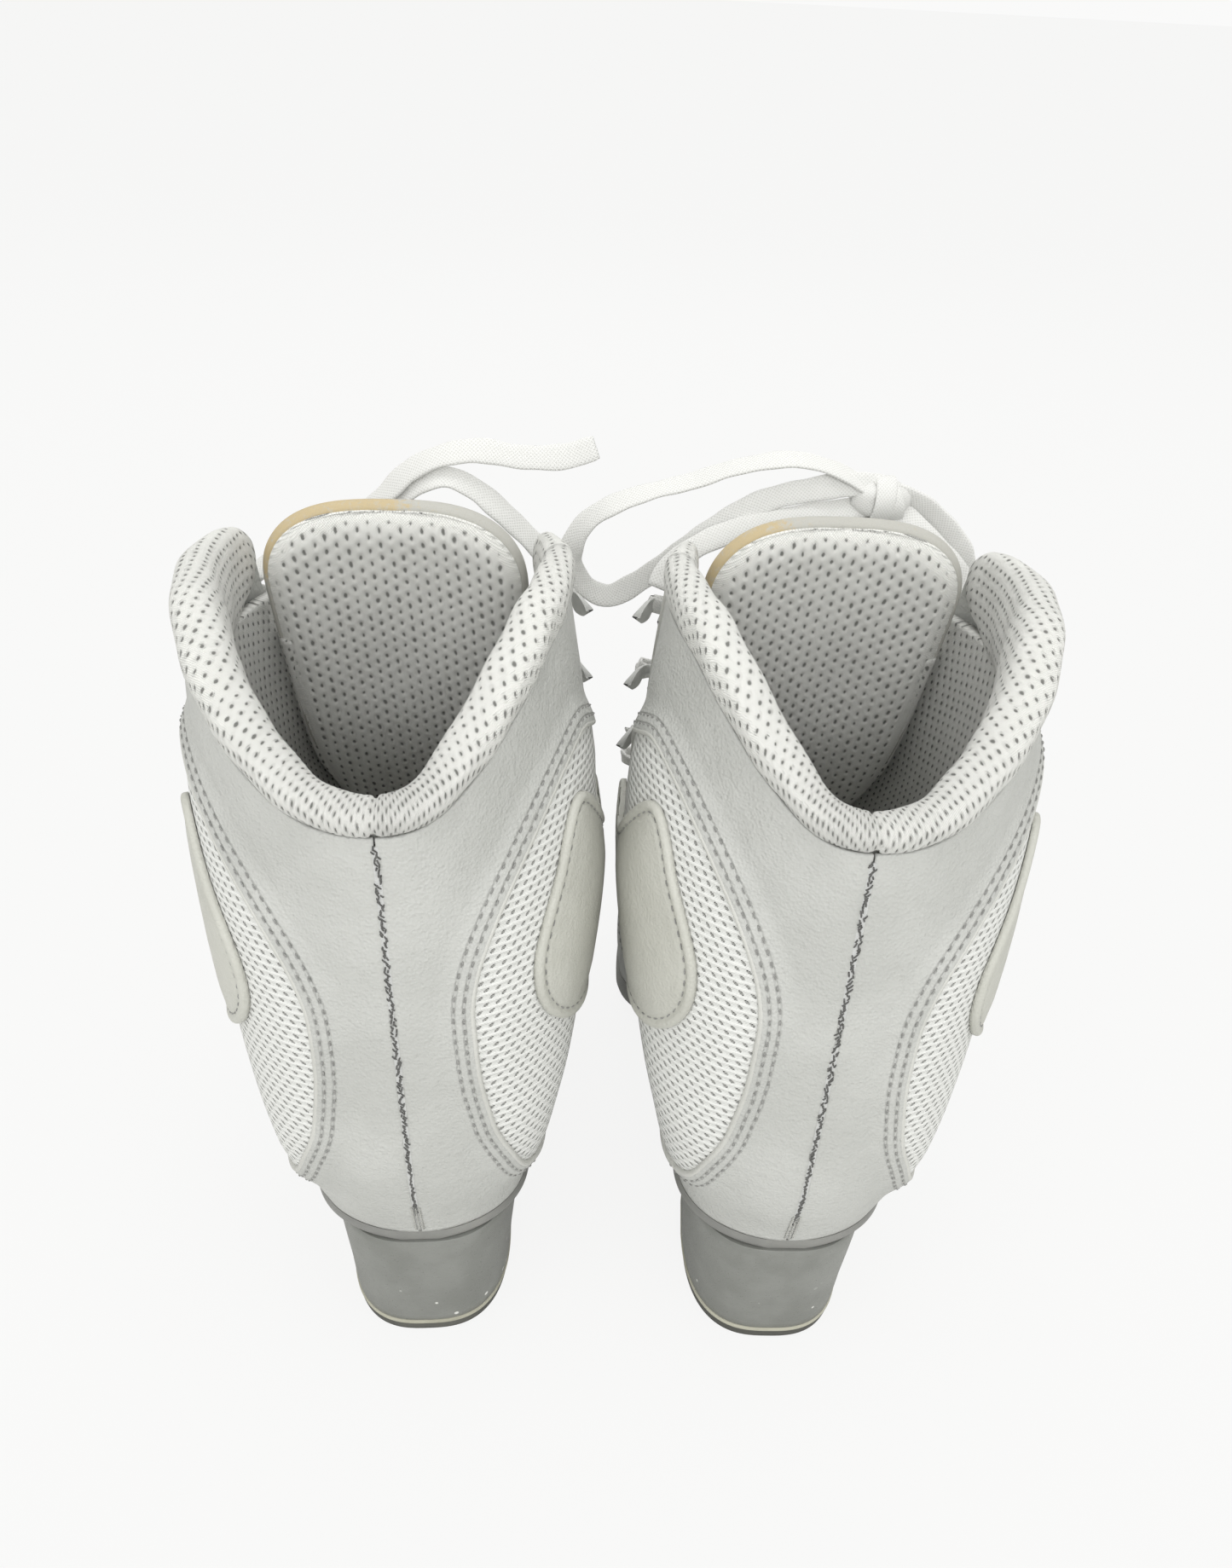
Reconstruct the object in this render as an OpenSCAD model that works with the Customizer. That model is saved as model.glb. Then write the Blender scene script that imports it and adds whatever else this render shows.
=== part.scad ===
// A pair of women's figure-skating boots, size about EU 38, standing on heels and soles.
// Local frame of a boot: x to the outer side of the foot, y to the toes, z up, zero at the heel's back.
// Lengths are millimetres. The left boot is the right boot mirrored.

/* [Stance] */
// Distance between the two heels' middles
heel_spacing = 106.5; // [100:0.5:140]
// How far each toe turns outwards, in degrees
toe_out = 1.5; // [0:0.5:4]
// How far the right boot stands behind the left one
right_set_back = 4; // [0:0.5:10]
// From the heels' back to the middle of the pair
heel_to_middle = 127.5; // [120:0.5:140]
// Sideways lean of the shaft, as a slope
shaft_lean = 0.035; // [0:0.005:0.05]

/* [Upper] */
// Thickness of the outer leather
leather = 1.6; // [1.2:0.1:2]
// Thickness of heel counter and toe puff
stiffener = 1.4; // [1:0.1:1.8]
// Thickness of the padded lining
lining_pad = 2.6; // [2:0.1:3.5]
// Gap between neighbouring layers
gap = 0.3; // [0.2:0.05:0.4]
// Thickness of the mesh panels on the sides
mesh_thick = 1; // [0.8:0.1:1.4]
// Thickness of the leather patches over the ankles
patch_thick = 1.4; // [1:0.1:2]
// Thickness of the padded collar at the back
collar_thick = 13; // [10:0.5:14]

/* [Heel] */
// Thickness of the rubber lift under the heel
lift_h = 3.8; // [3:0.1:6]
// Thickness of the pale layer above the lift
rand_h = 1.4; // [1:0.1:2]
// Half width of the heel block at its top
heel_half_top = 28.5; // [26:0.5:30]
// Half width of the heel block at the lift
heel_half_bottom = 25; // [22:0.5:28]

/* [Tongue] */
// Half width of the tongue at its widest
tongue_half = 34; // [30:0.5:34.5]
// Thickness of the tongue's leather
tongue_leather = 1.5; // [1:0.1:2]
// Thickness of the tongue's padding
tongue_foam = 6.5; // [5:0.5:8]

/* [Laces and fittings] */
// Width of the flat lace
lace_w = 7; // [6:0.5:8]
// Thickness of the flat lace
lace_t = 1.8; // [1.4:0.1:2.2]
// Radius of an eyelet's hole
eyelet_r = 2.2; // [2:0.1:2.6]

/* [Hidden] */

// Tables of the boot's form. Each is a list of stations and a list of values there.
// Heights of the sole's upper edge and of the leather's top edge, along y.
BASE = [[0, 70, 110, 165, 215, 262], [52, 49, 32, 13, 12, 16]];
TOP = [[0, 8, 20, 32, 45, 60, 105, 262], [187, 188, 196, 204, 211, 216, 219, 219]];
// Along v, from 0 at the sole to 1 at the leather's top edge: back and front of the ring.
BACK = [[0, 0.2, 0.4, 0.7, 1], [1, -3, -1, 3, 8]];
FRONT = [[0, 0.08, 0.15, 0.22, 0.28, 0.335, 0.45, 0.6, 0.8, 1],
         [258, 262, 253, 234, 206, 180, 150, 132, 118, 106]];
// Half widths of the rear part and of the forefoot, by v.
REAR_LATERAL = [[0, 0.1, 0.2, 0.3, 0.4, 0.6, 0.8, 1], [32.5, 38, 41.5, 45, 48, 52, 53.5, 53]];
REAR_MEDIAL = [[0, 0.1, 0.2, 0.3, 0.4, 0.6, 0.8, 1], [31, 35, 39, 43.5, 47, 52, 52, 50]];
FORE = [[0, 0.1, 0.2, 0.35, 1], [44.5, 46.5, 46, 44, 44]];
// Half of the opening between the eyestays, and the length of the round back, by v.
OPENING = [[0, 0.33, 0.335, 0.45, 0.6, 0.8, 1], [0, 0, 10, 32, 42, 42, 42]];
ROUND = [[0, 0.2, 0.5, 1], [31, 38, 56, 76]];
// Height of the sole's underside along y.
UNDER = [[0, 66, 110, 150, 175, 205, 240, 262], [47.8, 44.5, 24.5, 5, 0, 0, 2.5, 7]];
// Where the quarter ends against the vamp, as a share of the way round, by v.
VAMP_SEAM = [[0, 0.1, 0.2, 0.3, 0.36, 1], [0.5, 0.55, 0.66, 0.86, 1, 1]];
// Outline of the mesh panel and of the ankle patch: rear and front edge by v.
MESH_REAR = [[0.09, 0.13, 0.2, 0.32, 0.45, 0.6, 0.69, 0.75, 0.795, 0.825, 0.84],
             [0.2, 0.15, 0.128, 0.112, 0.112, 0.12, 0.145, 0.185, 0.24, 0.31, 0.39]];
MESH_FRONT = [[0.09, 0.15, 0.3, 0.5, 0.62, 0.7, 0.77, 0.84], [0.28, 0.4, 0.55, 0.69, 0.69, 0.65, 0.58, 0.48]];
PATCH_REAR = [[0.37, 0.41, 0.48, 0.56, 0.63, 0.68, 0.72, 0.77],
              [0.4, 0.285, 0.24, 0.222, 0.237, 0.275, 0.32, 0.385]];
PATCH_FRONT = [[0.37, 0.45, 0.55, 0.62, 0.68, 0.77], [0.5, 0.6, 0.65, 0.62, 0.52, 0.43]];
// Middle line of the tongue, as (y, z), and its half width as a share, from root to top.
TONGUE_Y = [[0, 0.15, 0.35, 0.55, 0.75, 0.9, 1], [176, 155, 134, 120, 110, 103, 98.5]];
TONGUE_Z = [[0, 0.15, 0.35, 0.55, 0.75, 0.9, 1], [74, 94, 124, 157, 192, 218, 235]];
TONGUE_SHARE = [[0, 0.15, 0.35, 0.55, 0.85, 1], [0.34, 0.5, 0.82, 0.96, 1, 1]];

SEAM_Y0 = 0.002;                 // share of the way round at which a quarter starts, beside the back seam
EYELET_V = [0.39, 0.445, 0.5, 0.555];
HOOK_V = [0.62, 0.76, 0.9];
FITTING_T = 0.84;                // share of the way round of eyelets and hooks
LACE_T = 0.93;                   // share of the way round at which the lace passes in front of a hook
EDGE_T = 0.975;                  // share of the way round at which the lace passes over the edge
LACE_ACROSS = [0, -0.447, 0.894];  // direction of the threaded lace's width
HEEL_BREAST = 63;                // y of the heel block's front
SOLE_BACK_Z = 52;                // height of the sole's upper edge at the back
VAMP_GAP = 0.004;                // share of the way round between a quarter and the vamp
TONGUE_ROUND = 0.86;             // share of the tongue's length at which its top starts to round off
SCREWS = [[-13, 18], [13, 18], [-13, 44], [13, 44]];

// Routes of the free laces, in the pair's frame.
LEFT_MEDIAL_ROUTE = [
    [-13.5, -15.5, 207], [-16, -13.5, 214], [-21, -12.5, 222], [-29, -13, 231], [-37, -13, 237.5],
    [-47, -13, 240.5], [-56, -12, 237], [-65, -9, 229], [-74, -5, 218], [-82, 0, 204], [-88, 6, 189],
    [-91, 12, 173], [-92, 17, 157], [-91, 21, 141], [-89, 24, 126]];
LEFT_LATERAL_ROUTE = [
    [-104.5, -17, 207], [-98, -12.5, 211], [-90, -10, 215], [-82, -9, 221], [-74, -9, 227],
    [-67, -10, 233], [-59, -11, 241], [-50, -12, 246], [-39, -12, 248], [-27, -12, 246.5],
    [-15, -12, 246], [-6, -12, 247.5]];
RIGHT_MEDIAL_ROUTE = [
    [75, -10, 239], [63, -10, 246], [50, -10, 249], [35, -9, 246], [22, -8, 240], [10, -8, 235],
    [0, -8, 230], [-8, -7, 224], [-12, -6, 216], [-12.5, -5, 209], [-9, -4, 202.5], [-2, -4, 199],
    [7, -5, 202], [18, -8, 212], [30, -10, 224], [44, -11, 235], [58, -11, 240], [71, -10, 239.5],
    [77, -4, 231], [74.5, 5, 212], [69, 12, 190], [65, 19, 168], [63, 26, 146], [62, 33, 124]];
RIGHT_LATERAL_ROUTE = [
    [80, -10, 239], [89, -10, 239.5], [98, -10, 233], [105, -9, 222], [110, -4, 208], [112, 4, 192],
    [110, 12, 174], [104, 17, 160], [98, 16, 163], [96, 11, 176], [95, 4, 194], [92, -3, 212],
    [88.5, -7, 227], [83.5, -5, 232], [86, 4, 220], [89, 11, 200], [92, 18, 178], [93, 25, 156],
    [92, 32, 134]];
RIGHT_MEDIAL_TIE = [
    [13.5, -20, 207], [17, -17, 212], [27, -15, 217], [41, -14, 222], [56, -13, 227], [70, -11, 232]];
RIGHT_LATERAL_TIE = [
    [105.5, -21, 207], [102, -17, 212], [96, -15, 218], [90, -14, 226], [85, -12, 232]];
KNOT = [77.5, -10, 237];

// Smooth interpolation in a table, with no overshoot.
function slopes(T) = let (x = T[0], y = T[1], n = len(x),
    d = [for (i = [0 : n - 2]) (y[i + 1] - y[i]) / (x[i + 1] - x[i])])
    [for (i = [0 : n - 1]) i == 0 ? d[0] : i == n - 1 ? d[n - 2]
        : d[i - 1] * d[i] <= 0 ? 0 : 2 * d[i - 1] * d[i] / (d[i - 1] + d[i])];
function with_slopes(T) = [T[0], T[1], slopes(T)];
function span_of(x, xs, i = 0) = i >= len(xs) - 2 || x < xs[i + 1] ? i : span_of(x, xs, i + 1);
function at(T, value) = let (xs = T[0], x = min(max(value, xs[0]), xs[len(xs) - 1]), i = span_of(x, xs),
    h = xs[i + 1] - xs[i], u = (x - xs[i]) / h, u2 = u * u, u3 = u2 * u, m = T[2])
    (2 * u3 - 3 * u2 + 1) * T[1][i] + (u3 - 2 * u2 + u) * h * m[i]
    + (3 * u2 - 2 * u3) * T[1][i + 1] + (u3 - u2) * h * m[i + 1];
function step(a, b, x) = let (u = min(max((x - a) / (b - a), 0), 1)) u * u * (3 - 2 * u);

base_line = with_slopes(BASE);
top_line = with_slopes(TOP);
back_line = with_slopes(BACK);
front_line = with_slopes(FRONT);
rear_lateral = with_slopes(REAR_LATERAL);
rear_medial = with_slopes(REAR_MEDIAL);
fore_width = with_slopes(FORE);
opening = with_slopes(OPENING);
round_length = with_slopes(ROUND);
under_line = with_slopes(UNDER);
vamp_seam = with_slopes(VAMP_SEAM);
tongue_y = with_slopes(TONGUE_Y);
tongue_z = with_slopes(TONGUE_Z);
tongue_share = with_slopes(TONGUE_SHARE);

// One ring of the upper, at height v: [back, front, round length, fore width, opening, lateral, medial].
function ring(v) = [at(back_line, v), at(front_line, v), at(round_length, v), at(fore_width, v),
    at(opening, v), at(rear_lateral, v), at(rear_medial, v)];

// A point of the upper's outer face. w runs from -1, medial front, by 0, the back seam, to 1, lateral
// front, and on to 2, back along the medial side, so that a vamp can pass round the toes.
function upper_point(v, R, w) =
    let (lateral = w >= 0 && w <= 1, t = w < 0 ? -w : w > 1 ? 2 - w : w,
        s = (1 - cos(180 * t)) / 2, y = R[0] + s * (R[1] - R[0]),
        rear = lateral ? R[5] : R[6], q = step(95, 160, y) * (1 - step(0.3, 0.5, v)),
        waist = (lateral ? 4.2 : 8.4) * exp(-pow((y - 100) / 34, 2)) * (1 - step(0, 0.25, v)),
        half = rear * (1 - q) + R[3] * q - waist,
        power = lateral ? 2.4 - 0.3 * step(0, 1, v) : 2.3 - 0.9 * step(0.1, 1, v),
        back_round = sqrt(max(1 - pow(max(1 - (y - R[0]) / R[2], 0), power), 0)),
        front_share = min(R[4] / rear, 1), u = max((s - 0.52) / 0.48, 0),
        toe_power = 2.5 - 0.5 * step(0, 0.5, v),
        front_round = sqrt(max(1 - (1 - front_share * front_share) * pow(u, toe_power), 0)),
        z = (1 - v) * at(base_line, y) + v * at(top_line, y))
    [(lateral ? 1 : -1) * half * back_round * front_round + shaft_lean * (z - SOLE_BACK_Z), y, z];

// Rows of points with their outward directions, from rows of [v, list of w].
function upper_grid(rows) = [for (r = rows) let (R = ring(r[0])) [for (w = r[1]) upper_point(r[0], R, w)]];
function unit(a) = a / max(norm(a), 0.000001);
function normals(G) = let (n = len(G) - 1, m = len(G[0]) - 1)
    [for (i = [0 : n]) [for (j = [0 : m])
        unit(cross(G[i][min(j + 1, m)] - G[i][max(j - 1, 0)], G[min(i + 1, n)][j] - G[max(i - 1, 0)][j]))]];
function shifted(G, N, d) =
    [for (i = [0 : len(G) - 1]) [for (j = [0 : len(G[0]) - 1]) G[i][j] + d * N[i][j]]];
function flat(L) = [for (a = L) for (b = a) b];
function spread(a, b, n) = [for (i = [0 : n]) a + (b - a) * i / n];

// The two triangles of a four-sided face, always split from its first corner.
function halves(f) = [[f[0], f[1], f[2]], [f[0], f[2], f[3]]];
function in_triangles(faces) = [for (f = faces) each halves(f)];

// A closed shell between two grids of points with the same rows and columns.
module shell(outer, inner) {
    n = len(outer);
    m = len(outer[0]);
    k = n * m;
    faces = concat(
        [for (i = [0 : n - 2], j = [0 : m - 2]) let (a = i * m + j) [a, a + m, a + m + 1, a + 1]],
        [for (i = [0 : n - 2], j = [0 : m - 2]) let (a = k + i * m + j) [a, a + 1, a + m + 1, a + m]],
        [for (j = [0 : m - 2]) [j, j + 1, k + j + 1, k + j]],
        [for (j = [0 : m - 2]) let (a = (n - 1) * m + j) [a + 1, a, k + a, k + a + 1]],
        [for (i = [0 : n - 2]) let (a = i * m) [a + m, a, k + a, k + a + m]],
        [for (i = [0 : n - 2]) let (a = i * m + m - 1) [a, a + m, k + a + m, k + a]]);
    polyhedron(concat(flat(outer), flat(inner)), in_triangles(faces), convexity = 8);
}

// A layer of the upper between two offsets, over rows of [v, list of w].
module layer(rows, low, high) {
    G = upper_grid(rows);
    N = normals(G);
    shell(shifted(G, N, high), shifted(G, N, low));
}

// A closed solid through rings of points, all with the same count.
module skin(rings) {
    n = len(rings);
    m = len(rings[0]);
    last = (n - 1) * m;
    polyhedron(flat(rings), concat(
        in_triangles([for (i = [0 : n - 2], j = [0 : m - 1]) let (a = i * m + j, b = i * m + (j + 1) % m)
            [a, b, b + m, a + m]]),
        [for (j = [1 : m - 2]) [0, j + 1, j]],
        [for (j = [1 : m - 2]) [last, last + j, last + j + 1]]), convexity = 8);
}

// Offsets of the layers from the upper's outer face.
STIFF_TOP = -leather - 2 * gap;
LINING_TOP = STIFF_TOP - stiffener - gap;
MESH_LOW = 4 * gap;
PATCH_LOW = MESH_LOW + mesh_thick + 2 * gap;
EYESTAY_H = gap + 1.2;

// Rows of one side of the upper between two edges: side is 1 lateral or -1 medial.
function side_rows(vs, from, to, side, n) = [for (v = vs)
    let (a = is_list(from) ? at(from, v) : from, b = is_list(to) ? at(to, v) : to)
    [v, side > 0 ? spread(a, b, n) : spread(-b, -a, n)]];

// Stations along the sole: [y, lateral half, medial half], inset by a margin.
function sole_station(w, inset) = let (L = upper_point(0, ring(0), w), M = upper_point(0, ring(0), -w))
    [L[1], L[0] - inset, M[0] + inset];
function sole_plan(n, inset, first, last) = [for (w = spread(first, last, n)) sole_station(w, inset)];
// A board that follows the sole's upper edge, from height low to height high above it.
module board(n, inset, first, last, low, high) {
    skin([for (p = sole_plan(n, inset, first, last)) let (z = at(base_line, p[0]))
        [[p[2], p[0], z + low], [p[1], p[0], z + low], [p[1], p[0], z + high], [p[2], p[0], z + high]]]);
}

// A heel outline at one height: round back, straight front.
function heel_ring(half, back, breast, n = 26) = let (r = breast - back) concat(
    [for (i = [0 : n]) let (a = 180 * i / n, c = cos(a))
        [half * sign(c) * pow(abs(c), 0.72), back + 0.62 * r * (1 - pow(sin(a), 0.8)), 0]],
    [[-half * 0.97, back + 0.85 * r, 0], [-half * 0.9, breast, 0], [half * 0.9, breast, 0],
     [half * 0.97, back + 0.85 * r, 0]]);
function raised(ring_points, z, sloped = false) =
    [for (p = ring_points) [p[0], p[1], sloped ? at(under_line, p[1]) - gap : z]];

// Travel directions along a route.
function travel(P) = let (n = len(P) - 1) [for (i = [0 : n]) unit(P[min(i + 1, n)] - P[max(i - 1, 0)])];
// Rings of a flat lace along points, with the direction of its width at each one.
function lace_rings(P, across) = let (D = travel(P)) [for (i = [0 : len(P) - 1])
    let (side = across[i] * lace_w * 0.54, up = unit(cross(across[i], D[i])) * lace_t * 0.54)
    [for (a = [22.5 : 45 : 359]) P[i] + side * cos(a) + up * sin(a)]];
// A free lace whose flat side looks along face.
module free_lace(route, face) {
    color("white") skin(lace_rings(route, [for (d = travel(route)) unit(cross(d, face))]));
}

// Things set on the upper's face: children stand along the outward direction.
function face_place(v, t, side) = let (G = upper_grid([for (d = [-0.02, 0, 0.02])
    [v + d, [side * t - 0.02, side * t, side * t + 0.02]]]), N = normals(G)) [G[1][1], N[1][1]];
module on_face(v, t, side, lift) {
    F = face_place(v, t, side);
    translate(F[0] + F[1] * lift) rotate([0, acos(F[1][2]), atan2(F[1][1], F[1][0])]) children();
}

module heel_lift() {
    color("dimgray") linear_extrude(lift_h)
        polygon([for (p = heel_ring(heel_half_bottom, 3, 58)) [p[0], p[1]]]);
}
module heel_rand() {
    color("cornsilk") translate([0, 0, lift_h]) linear_extrude(rand_h)
        polygon([for (p = heel_ring(heel_half_bottom + 0.4, 2.6, 58.4)) [p[0], p[1]]]);
}
module heel_block() {
    low = lift_h + rand_h;
    color("darkgray") skin([
        raised(heel_ring(heel_half_bottom + 0.3, 2.7, 58.5), low),
        raised(heel_ring(heel_half_bottom + 1.2, 1.9, 59.5), low + 14),
        raised(heel_ring(heel_half_top - 0.9, 1, 61.5), low + 28),
        raised(heel_ring(heel_half_top, 0.3, HEEL_BREAST), 0, true)]);
}
module outsole() {
    color("silver") skin([for (p = sole_plan(34, -0.6, 0.03, 0.985))
        let (z = at(base_line, p[0]) - gap / 2, low = at(under_line, p[0]))
        [[p[2], p[0], low], [p[1], p[0], low], [p[1] + 0.3, p[0], (z + low) / 2], [p[1], p[0], z],
         [p[2], p[0], z], [p[2] - 0.3, p[0], (z + low) / 2]]]);
}
module heel_screws() {
    color("silver") for (s = SCREWS) translate([s[0], s[1], 0]) {
        translate([0, 0, 20]) cylinder(h = 33, r = 1.6, $fn = 24);
        translate([0, 0, 52.2]) cylinder(h = 1.2, r = 3.4, $fn = 32);
    }
}
module shank() {
    color("gray") skin([for (y = spread(62, 150, 12)) let (z = at(base_line, y) + gap)
        [[-7, y, z], [7, y, z], [7, y, z + 1.2], [-7, y, z + 1.2]]]);
}
module insole_board() { color("tan") board(26, 6.5, 0.1, 0.94, 1.9, 3.9); }
module footbed() { color("whitesmoke") board(26, 7.5, 0.11, 0.93, 4.3, 8.3); }
module heel_counter() {
    color("burlywood") layer([for (v = spread(0.05, 0.42, 6))
        [v, spread(-0.36 + 0.3 * pow(v, 2), 0.36 - 0.3 * pow(v, 2), 22)]],
        STIFF_TOP - stiffener, STIFF_TOP);
}
module toe_puff() {
    color("burlywood") layer([for (v = spread(0.05, 0.25, 5)) [v, spread(0.8, 1.2, 14)]],
        STIFF_TOP - stiffener, STIFF_TOP);
}
module vamp() {
    color("white") layer([for (v = concat(spread(0, 0.3, 7), [0.325]))
        let (a = min(at(vamp_seam, v) + VAMP_GAP, 0.955)) [v, spread(a, 2 - a, 24)]], -leather, 0);
}
module quarter(side) {
    color("white") layer(side_rows(concat(spread(0, 0.36, 6), spread(0.44, 1, 7)),
        SEAM_Y0, vamp_seam, side, 19), -leather, 0);
}
module mesh_panel(side) {
    color("gainsboro") layer(side_rows(spread(0.09, 0.84, 14), with_slopes(MESH_REAR),
        with_slopes(MESH_FRONT), side, 8), MESH_LOW, MESH_LOW + mesh_thick);
}
module ankle_patch(side) {
    color("white") layer(side_rows(spread(0.37, 0.77, 8), with_slopes(PATCH_REAR),
        with_slopes(PATCH_FRONT), side, 6), PATCH_LOW, PATCH_LOW + patch_thick);
}
module eyestay(side) {
    color("white") layer(side_rows(spread(0.375, 0.985, 9), 0.74, 0.99, side, 4), gap, EYESTAY_H);
}
module back_seam() {
    color("dimgray") layer([for (v = spread(0.01, 0.99, 18)) [v, spread(-0.012, 0.012, 2)]], 0.1, 0.9);
}

// Section of the padded collar, outwards and upwards from the leather's edge, by share of the way round.
function collar_loop(t) = let (
    T = collar_thick - 5.5 * step(0.35, 0.9, t), up = 7 + 5 * step(0.1, 0.45, t) - 6 * step(0.6, 0.97, t),
    down = 17 - 9 * step(0.6, 0.97, t), e = leather + gap + 0.2)
    [[-0.1, 0.4], [1.3, up * 0.4], [0.5, up * 0.85], [-T * 0.38, up], [-T * 0.78, up * 0.8],
     [-T, up * 0.15], [-T - 0.4, -down * 0.5], [-T * 0.8, -down], [-e, -down], [-e, 0.4]];
module collar_pad() {
    W = concat(spread(-0.965, -0.2, 11), spread(-0.14, 0.14, 6), spread(0.2, 0.965, 11));
    R = ring(1);
    P = [for (w = W) upper_point(1, R, w)];
    n = len(P) - 1;
    color("whitesmoke") skin([for (i = [0 : n])
        let (d = unit(P[min(i + 1, n)] - P[max(i - 1, 0)]), out = unit([d[1], -d[0], 0]))
        [for (q = collar_loop(abs(W[i]))) P[i] + out * q[0] + [0, 0, q[1]]]]);
}
module lining() {
    color("whitesmoke") layer([for (v = spread(0.05, 0.86, 11)) [v, spread(-0.93, 0.93, 30)]],
        LINING_TOP - lining_pad, LINING_TOP);
}

// The tongue: a point of its front face at a across (-1..1), b along (0..1), and its layers.
function tongue_point(a, b, narrowed) =
    let (h = tongue_half * at(tongue_share, b) * narrowed, z = at(tongue_z, b))
    [a * h + shaft_lean * (z - SOLE_BACK_Z), at(tongue_y, b) - 5 * pow(a * h / tongue_half, 2), z];
function tongue_grid(n, m, tops) = [
    for (b = spread(0, TONGUE_ROUND, n)) [for (a = spread(1, -1, m)) tongue_point(a, b, 1)],
    for (turn = spread(90 / tops, 90 - 30 / tops, tops - 1))
        let (b = TONGUE_ROUND + (1 - TONGUE_ROUND) * sin(turn))
        [for (a = spread(1, -1, m)) tongue_point(a, b, pow(cos(turn), 0.7))]];
module tongue_layer(low, high) {
    G = tongue_grid(8, 8, 5);
    N = normals(G);
    shell(shifted(G, N, high), shifted(G, N, low));
}
module tongue_shell() { color("white") tongue_layer(-tongue_leather, 0); }
module tongue_pad() {
    color("whitesmoke") tongue_layer(-tongue_leather - gap - tongue_foam, -tongue_leather - gap);
}

module eyelets() {
    color("silver") for (side = [-1, 1], v = EYELET_V) on_face(v, FITTING_T, side, EYESTAY_H + gap)
        rotate_extrude($fn = 32) translate([eyelet_r, 0]) square([1.6, 0.9]);
}
module hooks() {
    color("silver") for (side = [-1, 1], v = HOOK_V) on_face(v, FITTING_T, side, EYESTAY_H + 0.1) {
        cylinder(h = 0.9, r = 4, $fn = 32);
        cylinder(h = 6.5, r = 1.7, $fn = 32);
        translate([-4, -3.2, 5.6]) cube([8, 6.4, 0.9]);
    }
}

// The threaded lace: two strands that cross between the eyestays, with a stop at each fitting.
function fitting_levels() = concat(EYELET_V, HOOK_V);
function above(v, t, side, lift) = let (F = face_place(v, t, side)) F[0] + F[1] * lift;
function lace_stop(i, side) = i < len(EYELET_V) ? above(EYELET_V[i], FITTING_T, side, 5.2)
    : above(HOOK_V[i - len(EYELET_V)], LACE_T, side, 3.6);
function lace_edge(i, side) = above(fitting_levels()[i], EDGE_T, side, 5.6);
// The lace comes over the edge to its stop and goes back beside itself.
function turn_at(i, side, first) = let (apart = [0, 1.1, 0], shift = [0, 1.3 * first + 2.4, 0],
    e = lace_edge(i, side) + shift, p = lace_stop(i, side) + shift)
    [e - apart, p - apart, p + apart, e + apart];
function strand(first) = let (n = len(fitting_levels()) - 1,
    all = flat([for (i = [0 : n]) turn_at(i, (i % 2 == 0 ? 1 : -1) * first, first)]))
    [for (i = [2 : len(all) - 3]) all[i]];
module lace() {
    for (first = [1, -1]) {
        P = strand(first);
        color("white") skin(lace_rings(P, [for (p = P) LACE_ACROSS]));
    }
}
// The right boot's lace with its two strands up to the bow's knot.
module tied_lace() {
    stand(1) lace();
    free_lace(RIGHT_MEDIAL_TIE, [0, -0.8, 0.6]);
    free_lace(RIGHT_LATERAL_TIE, [0, -0.8, 0.6]);
}
module lace_knot() {
    color("white") translate(KNOT) rotate([0, 90, 0]) translate([0, 0, -7.5])
        rotate_extrude($fn = 32)
            polygon([[0, 0], [3.5, 0.4], [5.6, 3], [6, 7.5], [5.6, 12], [3.5, 14.6], [0, 15]]);
}

// Puts a boot's part in its place in the pair.
module stand(side) {
    translate([side * heel_spacing / 2, side > 0 ? -right_set_back - heel_to_middle : -heel_to_middle, 0])
        rotate([0, 0, -side * toe_out])
            mirror([side > 0 ? 0 : 1, 0, 0]) children();
}

stand(-1) heel_lift();  // left_heel_lift
stand(-1) heel_rand();  // left_heel_rand
stand(-1) heel_block();  // left_heel_block
stand(-1) outsole();  // left_outsole
stand(-1) heel_screws();  // left_heel_screws
stand(-1) shank();  // left_shank
stand(-1) insole_board();  // left_insole_board
stand(-1) footbed();  // left_footbed
stand(-1) heel_counter();  // left_heel_counter
stand(-1) toe_puff();  // left_toe_puff
stand(-1) vamp();  // left_vamp
stand(-1) quarter(1);  // left_quarter_lateral
stand(-1) quarter(-1);  // left_quarter_medial
stand(-1) mesh_panel(1);  // left_mesh_panel_lateral
stand(-1) mesh_panel(-1);  // left_mesh_panel_medial
stand(-1) ankle_patch(1);  // left_ankle_patch_lateral
stand(-1) ankle_patch(-1);  // left_ankle_patch_medial
stand(-1) eyestay(1);  // left_eyestay_lateral
stand(-1) eyestay(-1);  // left_eyestay_medial
stand(-1) back_seam();  // left_back_seam
stand(-1) collar_pad();  // left_collar_pad
stand(-1) lining();  // left_lining
stand(-1) tongue_shell();  // left_tongue_shell
stand(-1) tongue_pad();  // left_tongue_pad
stand(-1) eyelets();  // left_eyelets
stand(-1) hooks();  // left_hooks
stand(-1) lace();  // left_lace
stand(1) heel_lift();  // right_heel_lift
stand(1) heel_rand();  // right_heel_rand
stand(1) heel_block();  // right_heel_block
stand(1) outsole();  // right_outsole
stand(1) heel_screws();  // right_heel_screws
stand(1) shank();  // right_shank
stand(1) insole_board();  // right_insole_board
stand(1) footbed();  // right_footbed
stand(1) heel_counter();  // right_heel_counter
stand(1) toe_puff();  // right_toe_puff
stand(1) vamp();  // right_vamp
stand(1) quarter(1);  // right_quarter_lateral
stand(1) quarter(-1);  // right_quarter_medial
stand(1) mesh_panel(1);  // right_mesh_panel_lateral
stand(1) mesh_panel(-1);  // right_mesh_panel_medial
stand(1) ankle_patch(1);  // right_ankle_patch_lateral
stand(1) ankle_patch(-1);  // right_ankle_patch_medial
stand(1) eyestay(1);  // right_eyestay_lateral
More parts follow.
